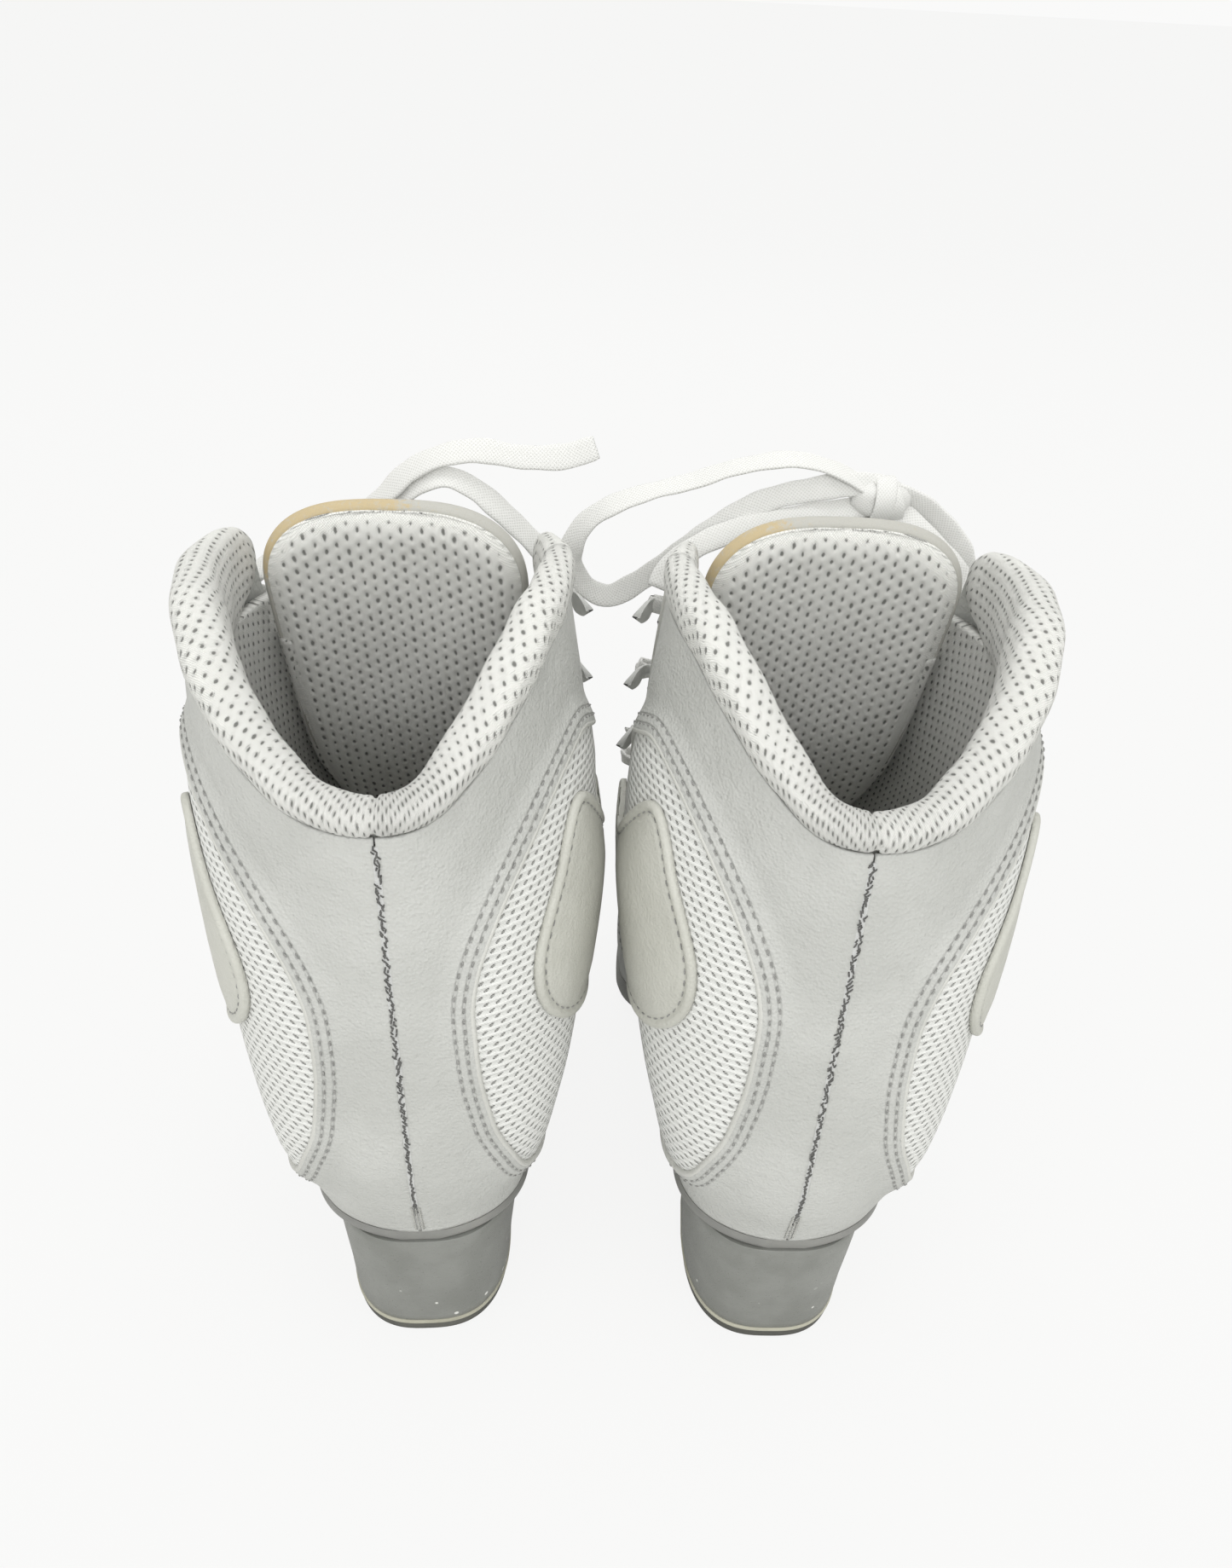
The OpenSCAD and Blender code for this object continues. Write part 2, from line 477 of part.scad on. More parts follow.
stand(1) eyestay(-1);  // right_eyestay_medial
stand(1) back_seam();  // right_back_seam
stand(1) collar_pad();  // right_collar_pad
stand(1) lining();  // right_lining
stand(1) tongue_shell();  // right_tongue_shell
stand(1) tongue_pad();  // right_tongue_pad
stand(1) eyelets();  // right_eyelets
stand(1) hooks();  // right_hooks
tied_lace();  // right_lace
free_lace(LEFT_MEDIAL_ROUTE, [0, -0.6, 0.8]);  // left_lace_end_medial
free_lace(LEFT_LATERAL_ROUTE, [0, -0.3, 0.95]);  // left_lace_end_lateral
lace_knot();  // right_lace_knot
free_lace(RIGHT_MEDIAL_ROUTE, [0, -0.8, 0.6]);  // right_lace_bow_medial
free_lace(RIGHT_LATERAL_ROUTE, [0, 0.9, 0.4]);  // right_lace_bow_lateral
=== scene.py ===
"""Looks of a pair of white figure-skating boots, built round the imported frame.

Each boot is made in its own millimetre frame, x to the outer side of the foot, y to the toes and z up,
and is then put in its place in the pair. The left boot is the right boot mirrored.
"""
import math

import bpy
import numpy as np
from mathutils import Matrix, Vector


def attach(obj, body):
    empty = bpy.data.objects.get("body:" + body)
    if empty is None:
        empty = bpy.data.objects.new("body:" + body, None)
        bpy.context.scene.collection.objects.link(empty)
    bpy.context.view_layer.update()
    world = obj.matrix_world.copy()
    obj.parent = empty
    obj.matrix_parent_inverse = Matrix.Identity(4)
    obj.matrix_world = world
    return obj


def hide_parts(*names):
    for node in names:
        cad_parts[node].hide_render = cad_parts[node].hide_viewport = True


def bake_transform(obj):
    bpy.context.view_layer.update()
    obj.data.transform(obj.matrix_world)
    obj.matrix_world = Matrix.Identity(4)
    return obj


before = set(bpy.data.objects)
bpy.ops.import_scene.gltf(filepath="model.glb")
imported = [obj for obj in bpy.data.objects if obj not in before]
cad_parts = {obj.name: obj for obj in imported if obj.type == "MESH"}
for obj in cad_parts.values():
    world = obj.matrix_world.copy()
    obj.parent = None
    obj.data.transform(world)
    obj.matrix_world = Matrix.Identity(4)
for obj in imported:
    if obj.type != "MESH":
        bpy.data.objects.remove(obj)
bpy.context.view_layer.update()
MM = 0.001
SIDES = {"left": -1, "right": 1}
PARTS = {1: "lateral", -1: "medial"}     # the outer and the inner half of a boot

# ---------------------------------------------------------------- camera

CAMERA_AT = (-0.0183, -0.3431, 0.3541)
CAMERA_TURN, CAMERA_DOWN, CAMERA_ROLL = 3.93, 33.77, 2.99
FOCAL_SHARE = 0.7615     # focal length as a share of the picture's height


def make_camera():
    turn, down, roll = (math.radians(a) for a in (CAMERA_TURN, CAMERA_DOWN, CAMERA_ROLL))
    ahead = Vector((math.sin(turn) * math.cos(down), math.cos(turn) * math.cos(down), -math.sin(down)))
    right = Vector((math.cos(turn), -math.sin(turn), 0))
    up = right.cross(ahead)
    tilted_right = right * math.cos(roll) + up * math.sin(roll)
    tilted_up = -right * math.sin(roll) + up * math.cos(roll)
    data = bpy.data.cameras.new("camera")
    data.sensor_fit = "VERTICAL"
    data.sensor_height = 36
    data.lens = 36 * FOCAL_SHARE
    data.clip_start = 0.01
    camera = bpy.data.objects.new("camera", data)
    bpy.context.scene.collection.objects.link(camera)
    camera.matrix_world = Matrix((
        (tilted_right.x, tilted_up.x, -ahead.x, CAMERA_AT[0]),
        (tilted_right.y, tilted_up.y, -ahead.y, CAMERA_AT[1]),
        (tilted_right.z, tilted_up.z, -ahead.z, CAMERA_AT[2]),
        (0, 0, 0, 1)))
    bpy.context.scene.camera = camera


make_camera()

# ---------------------------------------------------------------- the boot's form, as in the CAD

HEEL_SPACING, TOE_OUT, RIGHT_SET_BACK, HEEL_TO_MIDDLE = 106.5, math.radians(1.5), 4, 127.5
SHAFT_LEAN, SOLE_BACK_Z = 0.035, 52
LEATHER = 1.6
TONGUE_HALF, TONGUE_ROUND = 36, 0.87


def table(stations, values):
    """A smooth table with no overshoot: stations, values and slopes."""
    x, y = np.array(stations, float), np.array(values, float)
    d = np.diff(y) / np.diff(x)
    m = np.concatenate([[d[0]], np.zeros(len(d) - 1), [d[-1]]])
    for i in range(1, len(d)):
        if d[i - 1] * d[i] > 0:
            m[i] = 2 * d[i - 1] * d[i] / (d[i - 1] + d[i])
    return x, y, m


def at(tab, value):
    x, y, m = tab
    value = np.clip(np.asarray(value, float), x[0], x[-1])
    i = np.clip(np.searchsorted(x, value, side="right") - 1, 0, len(x) - 2)
    h = x[i + 1] - x[i]
    u = (value - x[i]) / h
    u2, u3 = u * u, u * u * u
    return ((2 * u3 - 3 * u2 + 1) * y[i] + (u3 - 2 * u2 + u) * h * m[i]
            + (3 * u2 - 2 * u3) * y[i + 1] + (u3 - u2) * h * m[i + 1])


def step(a, b, x):
    u = np.clip((np.asarray(x, float) - a) / (b - a), 0, 1)
    return u * u * (3 - 2 * u)


BASE = table([0, 70, 110, 165, 215, 262], [52, 49, 32, 13, 12, 16])
TOP = table([0, 8, 20, 32, 45, 60, 105, 262], [187, 188, 196, 204, 211, 216, 219, 219])
BACK = table([0, 0.2, 0.4, 0.7, 1], [1, -3, -1, 3, 8])
FRONT = table([0, 0.08, 0.15, 0.22, 0.28, 0.335, 0.45, 0.6, 0.8, 1],
              [258, 262, 253, 234, 206, 180, 150, 132, 118, 106])
REAR_LATERAL = table([0, 0.1, 0.2, 0.3, 0.4, 0.6, 0.8, 1], [32.5, 38, 41.5, 45, 48, 52, 53.5, 53])
REAR_MEDIAL = table([0, 0.1, 0.2, 0.3, 0.4, 0.6, 0.8, 1], [31, 35, 39, 43.5, 47, 52, 52, 50])
FORE = table([0, 0.1, 0.2, 0.35, 1], [44.5, 46.5, 46, 44, 44])
OPENING = table([0, 0.33, 0.335, 0.45, 0.6, 0.8, 1], [0, 0, 10, 32, 42, 42, 42])
ROUND = table([0, 0.2, 0.5, 1], [31, 38, 56, 76])
UNDER = table([0, 66, 110, 150, 175, 205, 240, 262], [47.8, 44.5, 24.5, 5, 0, 0, 2.5, 7])
VAMP_SEAM = table([0, 0.1, 0.2, 0.3, 0.36, 1], [0.5, 0.55, 0.66, 0.86, 1, 1])
TONGUE_Y = table([0, 0.15, 0.35, 0.55, 0.75, 0.9, 1], [176, 155, 134, 120, 110, 103, 98.5])
TONGUE_Z = table([0, 0.15, 0.35, 0.55, 0.75, 0.9, 1], [74, 94, 124, 157, 192, 218, 235])
TONGUE_SHARE = table([0, 0.15, 0.35, 0.55, 0.85, 1], [0.34, 0.5, 0.82, 0.96, 1, 1])
EYELET_V = [0.39, 0.445, 0.5, 0.555]
HOOK_V = [0.62, 0.76, 0.9]
FITTING_T, EDGE_T = 0.84, 0.975


def surface(w, v):
    """A point of the upper's outer face, in millimetres: w is -1 at the inner side's front edge, 0 at the
    back seam and 1 at the outer side's front edge or the toe, and goes on to 2 along the inner side."""
    w, v = np.broadcast_arrays(np.asarray(w, float), np.asarray(v, float))
    lateral = (w >= 0) & (w <= 1)
    t = np.where(w < 0, -w, np.where(w > 1, 2 - w, w))
    s = (1 - np.cos(np.pi * t)) / 2
    back, front = at(BACK, v), at(FRONT, v)
    y = back + s * (front - back)
    rear = np.where(lateral, at(REAR_LATERAL, v), at(REAR_MEDIAL, v))
    q = step(95, 160, y) * (1 - step(0.3, 0.5, v))
    waist = np.where(lateral, 4.2, 8.4) * np.exp(-((y - 100) / 34) ** 2) * (1 - step(0, 0.25, v))
    half = rear * (1 - q) + at(FORE, v) * q - waist
    power = np.where(lateral, 2.4 - 0.3 * step(0, 1, v), 2.3 - 0.9 * step(0.1, 1, v))
    back_round = np.sqrt(np.maximum(1 - np.maximum(1 - (y - back) / at(ROUND, v), 0) ** power, 0))
    front_share = np.minimum(at(OPENING, v) / rear, 1)
    u = np.maximum((s - 0.52) / 0.48, 0)
    front_round = np.sqrt(np.maximum(1 - (1 - front_share ** 2) * u ** (2.5 - 0.5 * step(0, 0.5, v)), 0))
    z = (1 - v) * at(BASE, y) + v * at(TOP, y)
    x = np.where(lateral, 1, -1) * half * back_round * front_round + SHAFT_LEAN * (z - SOLE_BACK_Z)
    return np.stack([x, y, z], -1)


def unit(a):
    return a / np.maximum(np.linalg.norm(a, axis=-1, keepdims=True), 1e-12)


def outward(w, v, wraps=False):
    """Outward directions of the upper at w and v. It wraps only round the toe."""
    w, v = np.broadcast_arrays(np.asarray(w, float), np.asarray(v, float))
    e = 0.004
    low, high = w - e, w + e
    if not wraps:
        low, high = np.maximum(low, -1), np.minimum(high, 1)
    along = surface(high, v) - surface(low, v)
    rise = surface(w, np.minimum(v + e, 1)) - surface(w, np.maximum(v - e, 0))
    return unit(np.cross(along, rise))


def lifted(w, v, height, wraps=False):
    """Points at a height above the upper's outer face."""
    return surface(w, v) + outward(w, v, wraps) * np.asarray(height)[..., None]


def placed(points, side):
    """Millimetre points of a boot to metre points in the pair."""
    p = np.asarray(points, float)
    x = p[..., 0] * math.cos(TOE_OUT) + p[..., 1] * math.sin(TOE_OUT)
    y = -p[..., 0] * math.sin(TOE_OUT) + p[..., 1] * math.cos(TOE_OUT) - HEEL_TO_MIDDLE
    if side > 0:
        y = y - RIGHT_SET_BACK
    return np.stack([side * (HEEL_SPACING / 2 + x), y, p[..., 2]], -1) * MM


# ---------------------------------------------------------------- mesh helpers

def make_mesh(name, points, faces, uv=None, smooth=True):
    """A mesh object from metre points and lists of faces with the same number of corners."""
    points = np.asarray(points, np.float32).reshape(-1, 3)
    groups = [np.asarray(f, np.int32) for f in (faces if isinstance(faces, list) else [faces]) if len(f)]
    corners = np.concatenate([g.ravel() for g in groups])
    sizes = np.concatenate([np.full(len(g), g.shape[1]) for g in groups])
    mesh = bpy.data.meshes.new(name)
    mesh.vertices.add(len(points))
    mesh.vertices.foreach_set("co", points.ravel())
    mesh.loops.add(len(corners))
    mesh.loops.foreach_set("vertex_index", corners.astype(np.int32))
    mesh.polygons.add(len(sizes))
    starts = np.concatenate([[0], np.cumsum(sizes)[:-1]]).astype(np.int32)
    mesh.polygons.foreach_set("loop_start", starts)
    mesh.polygons.foreach_set("use_smooth", np.full(len(sizes), smooth))
    if uv is not None:
        layer = mesh.uv_layers.new(name="cloth")
        layer.data.foreach_set("uv", np.asarray(uv, np.float32).reshape(-1, 2)[corners].ravel())
    mesh.update(calc_edges=True)
    mesh.validate()
    made = bpy.data.objects.new(name, mesh)
    bpy.context.scene.collection.objects.link(made)
    return made


def grid_faces(rows, columns, wrap=False, start=0):
    i, j = np.meshgrid(np.arange(rows - 1), np.arange(columns if wrap else columns - 1), indexing="ij")
    a = i * columns + j
    b = i * columns + (j + 1) % columns
    return (np.stack([a, b, b + columns, a + columns], -1) + start).reshape(-1, 4)


def turned(faces, side):
    """Faces keep their outside when a boot is mirrored."""
    return faces if side > 0 else faces[:, ::-1]


def sheet_mesh(name, outer, inner, side, uv=None):
    """A closed shell between two grids of millimetre points."""
    rows, columns = outer.shape[:2]
    count = rows * columns
    ring = np.concatenate([
        np.arange(columns), np.arange(1, rows) * columns + columns - 1,
        (rows - 1) * columns + np.arange(columns - 2, -1, -1), np.arange(rows - 2, 0, -1) * columns])
    after = np.roll(ring, -1)
    rim = np.stack([after, ring, ring + count, after + count], -1)
    faces = np.concatenate([grid_faces(rows, columns), grid_faces(rows, columns, start=count)[:, ::-1], rim])
    both = np.concatenate([outer.reshape(-1, 3), inner.reshape(-1, 3)])
    uvs = None if uv is None else np.concatenate([uv.reshape(-1, 2)] * 2)
    return make_mesh(name, placed(both, side), turned(faces, side), uvs)


def tube_mesh(name, rings, side=0, uv=None):
    """A closed tube through rings of points, [ring, corner, 3]; side 0 means metres in the pair."""
    count, corners = rings.shape[:2]
    middle = rings[[0, -1]].mean(1)
    points = np.concatenate([rings.reshape(-1, 3), middle])
    j = np.arange(corners)
    last = (count - 1) * corners
    ends = np.concatenate([
        np.stack([(j + 1) % corners, j, np.full(corners, count * corners)], -1),
        np.stack([last + j, last + (j + 1) % corners, np.full(corners, count * corners + 1)], -1)])
    sides = grid_faces(count, corners, wrap=True)
    if side < 0:
        sides, ends = sides[:, ::-1], ends[:, ::-1]
    if uv is not None:
        uv = np.concatenate([uv.reshape(-1, 2), uv[[0, -1], 0]])
    return make_mesh(name, points if side == 0 else placed(points, side), [sides, ends], uv)


def cloth_uv(points):
    """Arc lengths in millimetres along the columns and rows of a grid of points."""
    across = np.linalg.norm(np.diff(points, axis=1), axis=-1)
    up = np.linalg.norm(np.diff(points, axis=0), axis=-1)
    u = np.concatenate([np.zeros((len(points), 1)), np.cumsum(across, 1)], 1)
    v = np.concatenate([np.zeros((1, points.shape[1])), np.cumsum(up, 0)], 0)
    return np.stack([u, v], -1)


def smooth_curve(points, pitch, closed=False):
    """A smooth curve through points, with samples about pitch apart."""
    p = np.asarray(points, float)
    n = len(p)
    spans = n if closed else n - 1
    u = np.linspace(0, 1, 24, endpoint=False)[:, None]
    out = []
    for i in range(spans):
        if closed:
            a, b, c, d = p[i - 1], p[i], p[(i + 1) % n], p[(i + 2) % n]
        else:
            a, b, c, d = p[max(i - 1, 0)], p[i], p[i + 1], p[min(i + 2, n - 1)]
        out.append(0.5 * (2 * b + (c - a) * u + (2 * a - 5 * b + 4 * c - d) * u ** 2
                          + (3 * b - a - 3 * c + d) * u ** 3))
    dense = np.concatenate(out + [p[:1] if closed else p[-1:]])
    far = way(dense)
    steps = max(int(round(far[-1] / pitch)), 2)
    where = np.linspace(0, far[-1], steps, endpoint=not closed)
    return picked(where, far, dense)


def way(points):
    """How far along a line each of its points is."""
    return np.concatenate([[0], np.cumsum(np.linalg.norm(np.diff(points, axis=0), axis=1))])


def picked(where, far, values):
    """Values at distances along a line, from its own at distances far."""
    return np.stack([np.interp(where, far, column) for column in values.T], -1)


def relaxed(values, rounds, closed=True):
    """Evens out a line of points."""
    for _ in range(rounds):
        if closed:
            values = (np.roll(values, 1, 0) + 2 * values + np.roll(values, -1, 0)) / 4
        else:
            values = np.concatenate([values[:1], (values[:-2] + 2 * values[1:-1] + values[2:]) / 4, values[-1:]])
    return values


def travel(points, closed=False):
    if closed:
        return unit(np.roll(points, -1, 0) - np.roll(points, 1, 0))
    return unit(np.gradient(points, axis=0))


def nearest(points, line):
    """Distance from each point to the nearest point of a line."""
    flat = points.reshape(-1, 3)
    out = np.empty(len(flat))
    for k in range(0, len(flat), 4000):
        block = flat[k:k + 4000]
        out[k:k + 4000] = np.sqrt(((block[:, None] - line[None]) ** 2).sum(-1).min(1))
    return out.reshape(points.shape[:-1])


# ---------------------------------------------------------------- materials

class Value:
    """What a socket of a node tree gives, ready for sums."""

    def __init__(self, tree, socket):
        self.tree, self.socket = tree, socket

    def maths(self, operation, *others):
        return sum_of(self.tree, operation, self, *others)

    def __add__(self, other):
        return self.maths("ADD", other)

    def __sub__(self, other):
        return self.maths("SUBTRACT", other)

    def __rsub__(self, other):
        return sum_of(self.tree, "SUBTRACT", other, self)

    def __mul__(self, other):
        return self.maths("MULTIPLY", other)

    def __truediv__(self, other):
        return self.maths("DIVIDE", other)

    def fade(self, low, high, start=0.0, end=1.0):
        """The value's way from low to high, eased, as start to end."""
        return Value(self.tree, add(self.tree, "ShaderNodeMapRange", {
            "Value": self, "From Min": low, "From Max": high, "To Min": start, "To Max": end},
            interpolation_type="SMOOTHSTEP").outputs["Result"])


def add(tree, kind, inputs=None, **settings):
    """A new node, with its settings and with its inputs set or linked."""
    node = tree.nodes.new(kind)
    for key, value in settings.items():
        setattr(node, key, value)
    for key, value in (inputs or {}).items():
        value = getattr(value, "socket", value)
        if isinstance(value, bpy.types.NodeSocket):
            tree.links.new(value, node.inputs[key])
        else:
            node.inputs[key].default_value = value
    return node


def sum_of(tree, operation, *values):
    return Value(tree, add(tree, "ShaderNodeMath", dict(enumerate(values)), operation=operation).outputs[0])


def blended(share, first, second):
    """A mix of two colours, each a Value or three numbers."""
    inputs = {0: share}
    for key, colour in ((6, first), (7, second)):
        inputs[key] = colour if isinstance(colour, Value) else (*colour, 1)
    return Value(share.tree, add(share.tree, "ShaderNodeMix", inputs, data_type="RGBA").outputs[2])


def bumps(*layers):
    """A normal from (height, depth in millimetres) layers, one on another."""
    below = {}
    for height, depth in layers:
        node = add(height.tree, "ShaderNodeBump", {"Height": height, "Distance": depth * MM, "Strength": 1.0, **below})
        below = {"Normal": node.outputs["Normal"]}
    return Value(height.tree, below["Normal"])


def cloth_axes(place):
    """The two cloth coordinates, in millimetres."""
    uv = add(place.tree, "ShaderNodeUVMap", uv_map="cloth").outputs["UV"]
    split = add(place.tree, "ShaderNodeSeparateXYZ", {0: uv})
    return [Value(place.tree, split.outputs[k]) for k in (0, 1)]


def attribute(place, name):
    return Value(place.tree, add(place.tree, "ShaderNodeAttribute", attribute_name=name).outputs["Fac"])


def noise(place, scale, detail=2.0, roughness=0.5):
    return Value(place.tree, add(place.tree, "ShaderNodeTexNoise", {
        "Vector": place, "Scale": scale, "Detail": detail, "Roughness": roughness}).outputs["Fac"])


def cells(place, scale):
    pattern = add(place.tree, "ShaderNodeTexVoronoi", {"Vector": place, "Scale": scale})
    return Value(place.tree, pattern.outputs["Distance"])


def waves(value, length):
    return (value * (2 * math.pi / length)).maths("SINE")


def counted(value, pitch):
    """How many pitches a value holds, rounded, and what is over."""
    count = (value / pitch).maths("ROUND")
    return count, value - count * pitch


def material(name, colour, roughness, **settings):
    """A new material, its shader node, and places in millimetres."""
    made = bpy.data.materials.new(name)
    made.use_nodes = True
    made.diffuse_color = (*colour, 1)
    tree = made.node_tree
    shader = next(n for n in tree.nodes if n.type == "BSDF_PRINCIPLED")
    shader.inputs["Base Color"].default_value = (*colour, 1)
    shader.inputs["Roughness"].default_value = roughness
    for key, value in settings.items():
        shader.inputs[key.replace("_", " ")].default_value = value
    metres = add(tree, "ShaderNodeTexCoord").outputs["Object"]
    place = add(tree, "ShaderNodeVectorMath", {0: metres, "Scale": 1 / MM}, operation="SCALE").outputs[0]
    return made, shader, Value(tree, place)


def connect(shader, **values):
    for key, value in values.items():
        value.tree.links.new(value.socket, shader.inputs[key.replace("_", " ")])


SEAM_ROWS = (2.5, 4.9)                  # distances of a panel's two stitch rows from its edge
HOLE_ACROSS, HOLE_ALONG = 3.1, 4.3      # spacing of the knit's staggered holes
HOLE_HALF = (0.5, 0.9)                  # half width and half length of a hole
RIB, SLOT_ACROSS = 2.2, 3.4             # spacing of the woven panel's ribs, and of the slots along one
SLOT_HALF, SLOT_SLANT = (0.62, 0.5), -0.9
BRAID = 1.1                             # pitch of the lace's threads


def leather_material(name, colour, shade, grain=1.0):
    """Coated leather: fine pebble grain, soft wrinkles, and grooves under the two stitch rows of a seam, with painted
    shade in the grooves.
    """
    made, shader, place = material(name, colour, 0.45, Specular_IOR_Level=0.4)
    wrinkle = noise(place, 0.28, 4.0, 0.62)
    seam = attribute(place, "seam")
    first, second = ((seam - row).maths("ABSOLUTE").fade(0.7, 0.0) for row in SEAM_ROWS)
    groove_and_shade = first.maths("MAXIMUM", second)
    tone = blended(noise(place, 0.035, 3.0).fade(0.35, 0.65), colour, shade)
    # Painted shade: the colour goes a little towards grey in the stitch grooves.
    connect(shader, Base_Color=blended(groove_and_shade * 0.05, tone, (0.36, 0.36, 0.35)),
            Roughness=wrinkle.fade(0.3, 0.7, 0.4, 0.54),
            Normal=bumps((wrinkle, 0.5 * grain), (cells(place, 1.15), 0.21 * grain),
                         (noise(place, 2.4), 0.07 * grain), (1.0 - groove_and_shade, 0.35)))
    return made


def knit_material(name, colour, shade, dark):
    """Spacer knit with staggered oval holes, over fine loops. The holes are painted dark, partly their real darkness
    and partly painted shade, and their rims carry painted shade.
    """
    made, shader, place = material(name, colour, 0.85, Specular_IOR_Level=0.15, Sheen_Weight=0.15)
    wobble = (noise(place, 0.5) - 0.5) * 0.9
    across, along = (axis + wobble for axis in cloth_axes(place))
    column, du = counted(across, HOLE_ACROSS)
    _, dv = counted(along - column.maths("FLOORED_MODULO", 2.0) * (HOLE_ALONG / 2), HOLE_ALONG)
    a, b = du / HOLE_HALF[0], dv / HOLE_HALF[1]
    from_hole = (a * a + b * b).maths("SQRT") * noise(place, 0.21, 1.0).fade(0.3, 0.7, 1.25, 0.8)
    open_cloth = 1.0 - attribute(place, "plain")
    hole, dip = from_hole.fade(1.3, 0.5) * open_cloth, from_hole.fade(2.4, 0.6) * open_cloth
    loop = waves(across, 0.76) * waves(along, 0.64) * 0.5 + noise(place, 3.5, 3.0)
    tone = blended(loop.fade(0.1, 0.9), shade, colour)
    # Painted shade: darker round the rim of each hole.
    tone = blended(dip * 0.25, tone, shade)
    # The holes are painted dark: partly their real darkness, partly painted shade.
    connect(shader, Base_Color=blended(hole * 0.88, tone, dark), Normal=bumps((1.0 - dip, 0.3), (loop, 0.17)))
    return made


def woven_material(name, colour, shade, dark):
    """Ribbed open weave: level ribs with slanting slots between them, with painted shade in the grooves and slots."""
    made, shader, place = material(name, colour, 0.8, Specular_IOR_Level=0.2, Sheen_Weight=0.1)
    across, along = cloth_axes(place)
    along = along + (noise(place, 0.35) - 0.5) * 0.8
    rib, dv = counted(along, RIB)
    staggered = across + rib.maths("FLOORED_MODULO", 2.0) * (SLOT_ACROSS / 2)
    _, du = counted(staggered + dv * SLOT_SLANT, SLOT_ACROSS)
    a, b = du / SLOT_HALF[0], dv / SLOT_HALF[1]
    slot_here = (a * a + b * b).maths("SQRT").fade(1.25, 0.5)
    ridge = dv.maths("ABSOLUTE").fade(0.1, 1.1)
    thread = waves(across + along, 0.8) * 0.35 + noise(place, 3.2, 3.0)
    # Painted shade: darker along the grooves where the ribs meet.
    tone = blended(ridge * thread.fade(0.2, 0.8, 0.6, 1.0), shade, colour)
    # Painted shade: the slots are painted dark.
    connect(shader, Base_Color=blended(slot_here * 0.8, tone, dark),
            Normal=bumps((ridge, 0.3), (1.0 - slot_here, 0.35), (thread, 0.08)))
    return made


def lace_material(name, colour, shade):
    """Flat braid of slanting threads that cross."""
    made, shader, place = material(name, colour, 0.8, Specular_IOR_Level=0.2, Sheen_Weight=0.2)
    along, across = cloth_axes(place)
    braid = waves(along + across, BRAID).maths("MAXIMUM", waves(along - across, BRAID))
    fuzz = noise(place, 3.0, 3.0)
    connect(shader, Base_Color=blended((braid + fuzz).fade(0.3, 1.4), shade, colour),
            Normal=bumps((braid, 0.04), (fuzz, 0.02)))
    return made


def plastic_material(name, colour, scuffed, roughness, specks=False):
    """Moulded heel plastic or rubber with faint marks and, with specks, a few pale chips near the ground."""
    made, shader, place = material(name, colour, roughness, Specular_IOR_Level=0.5)
    cloud, scratch = noise(place, 0.06, 4.0, 0.6), noise(place, 1.6, 5.0, 0.7)
    tone = blended(cloud.fade(0.35, 0.7), colour, scuffed)
    if specks:
        height = Value(place.tree, add(place.tree, "ShaderNodeSeparateXYZ", {0: place}).outputs[2])
        tone = blended(cells(place, 0.12).fade(0.10, 0.065) * height.fade(30.0, 14.0), tone, (0.8, 0.8, 0.77))
    connect(shader, Base_Color=tone, Roughness=scratch.fade(0.3, 0.75, roughness - 0.08, roughness + 0.12),
            Normal=bumps((scratch, 0.05), (cloud, 0.15)))
    return made


def metal_material(name, colour, roughness):
    made, shader, place = material(name, colour, roughness, Metallic=1.0)
    brushed = noise(place, 2.5, 4.0)
    connect(shader, Roughness=brushed.fade(0.2, 0.8, roughness - 0.1, roughness + 0.1), Normal=bumps((brushed, 0.02)))
    return made


def painted_material(name, colour, chipped):
    """White paint on metal, with small chips."""
    made, shader, place = material(name, colour, 0.3, Specular_IOR_Level=0.5)
    connect(shader, Base_Color=blended(noise(place, 0.9, 5.0, 0.7).fade(0.66, 0.72), colour, chipped),
            Normal=bumps((noise(place, 1.2), 0.04)))
    return made


def board_material(name, colour, shade):
    """Pressed fibre board."""
    made, shader, place = material(name, colour, 0.85)
    fibre = noise(place, 1.4, 6.0, 0.7)
    connect(shader, Base_Color=blended(fibre.fade(0.3, 0.7), colour, shade), Normal=bumps((fibre, 0.15)))
    return made


def thread_material(name, colour, shade):
    """Twisted sewing thread."""
    made, shader, place = material(name, colour, 0.7, Sheen_Weight=0.2)
    ply = noise(place, 4.0)
    connect(shader, Base_Color=blended(ply.fade(0.35, 0.65), colour, shade), Normal=bumps((ply, 0.08)))
    return made


def binding_material(name, colour, aged, shade):
    """Edge tape of the tongue: grey on one side and yellowed on the other."""
    made, shader, place = material(name, colour, 0.75)
    mottled = attribute(place, "aged") + (noise(place, 0.55, 5.0, 0.7) - 0.5) * 2.6
    tone = blended(mottled.fade(0.25, 1.0), colour, aged)
    fibre = noise(place, 2.5, 4.0, 0.65)
    connect(shader, Base_Color=blended(fibre.fade(0.5, 0.8, 0.0, 0.5), tone, shade), Normal=bumps((fibre, 0.12)))
    return made


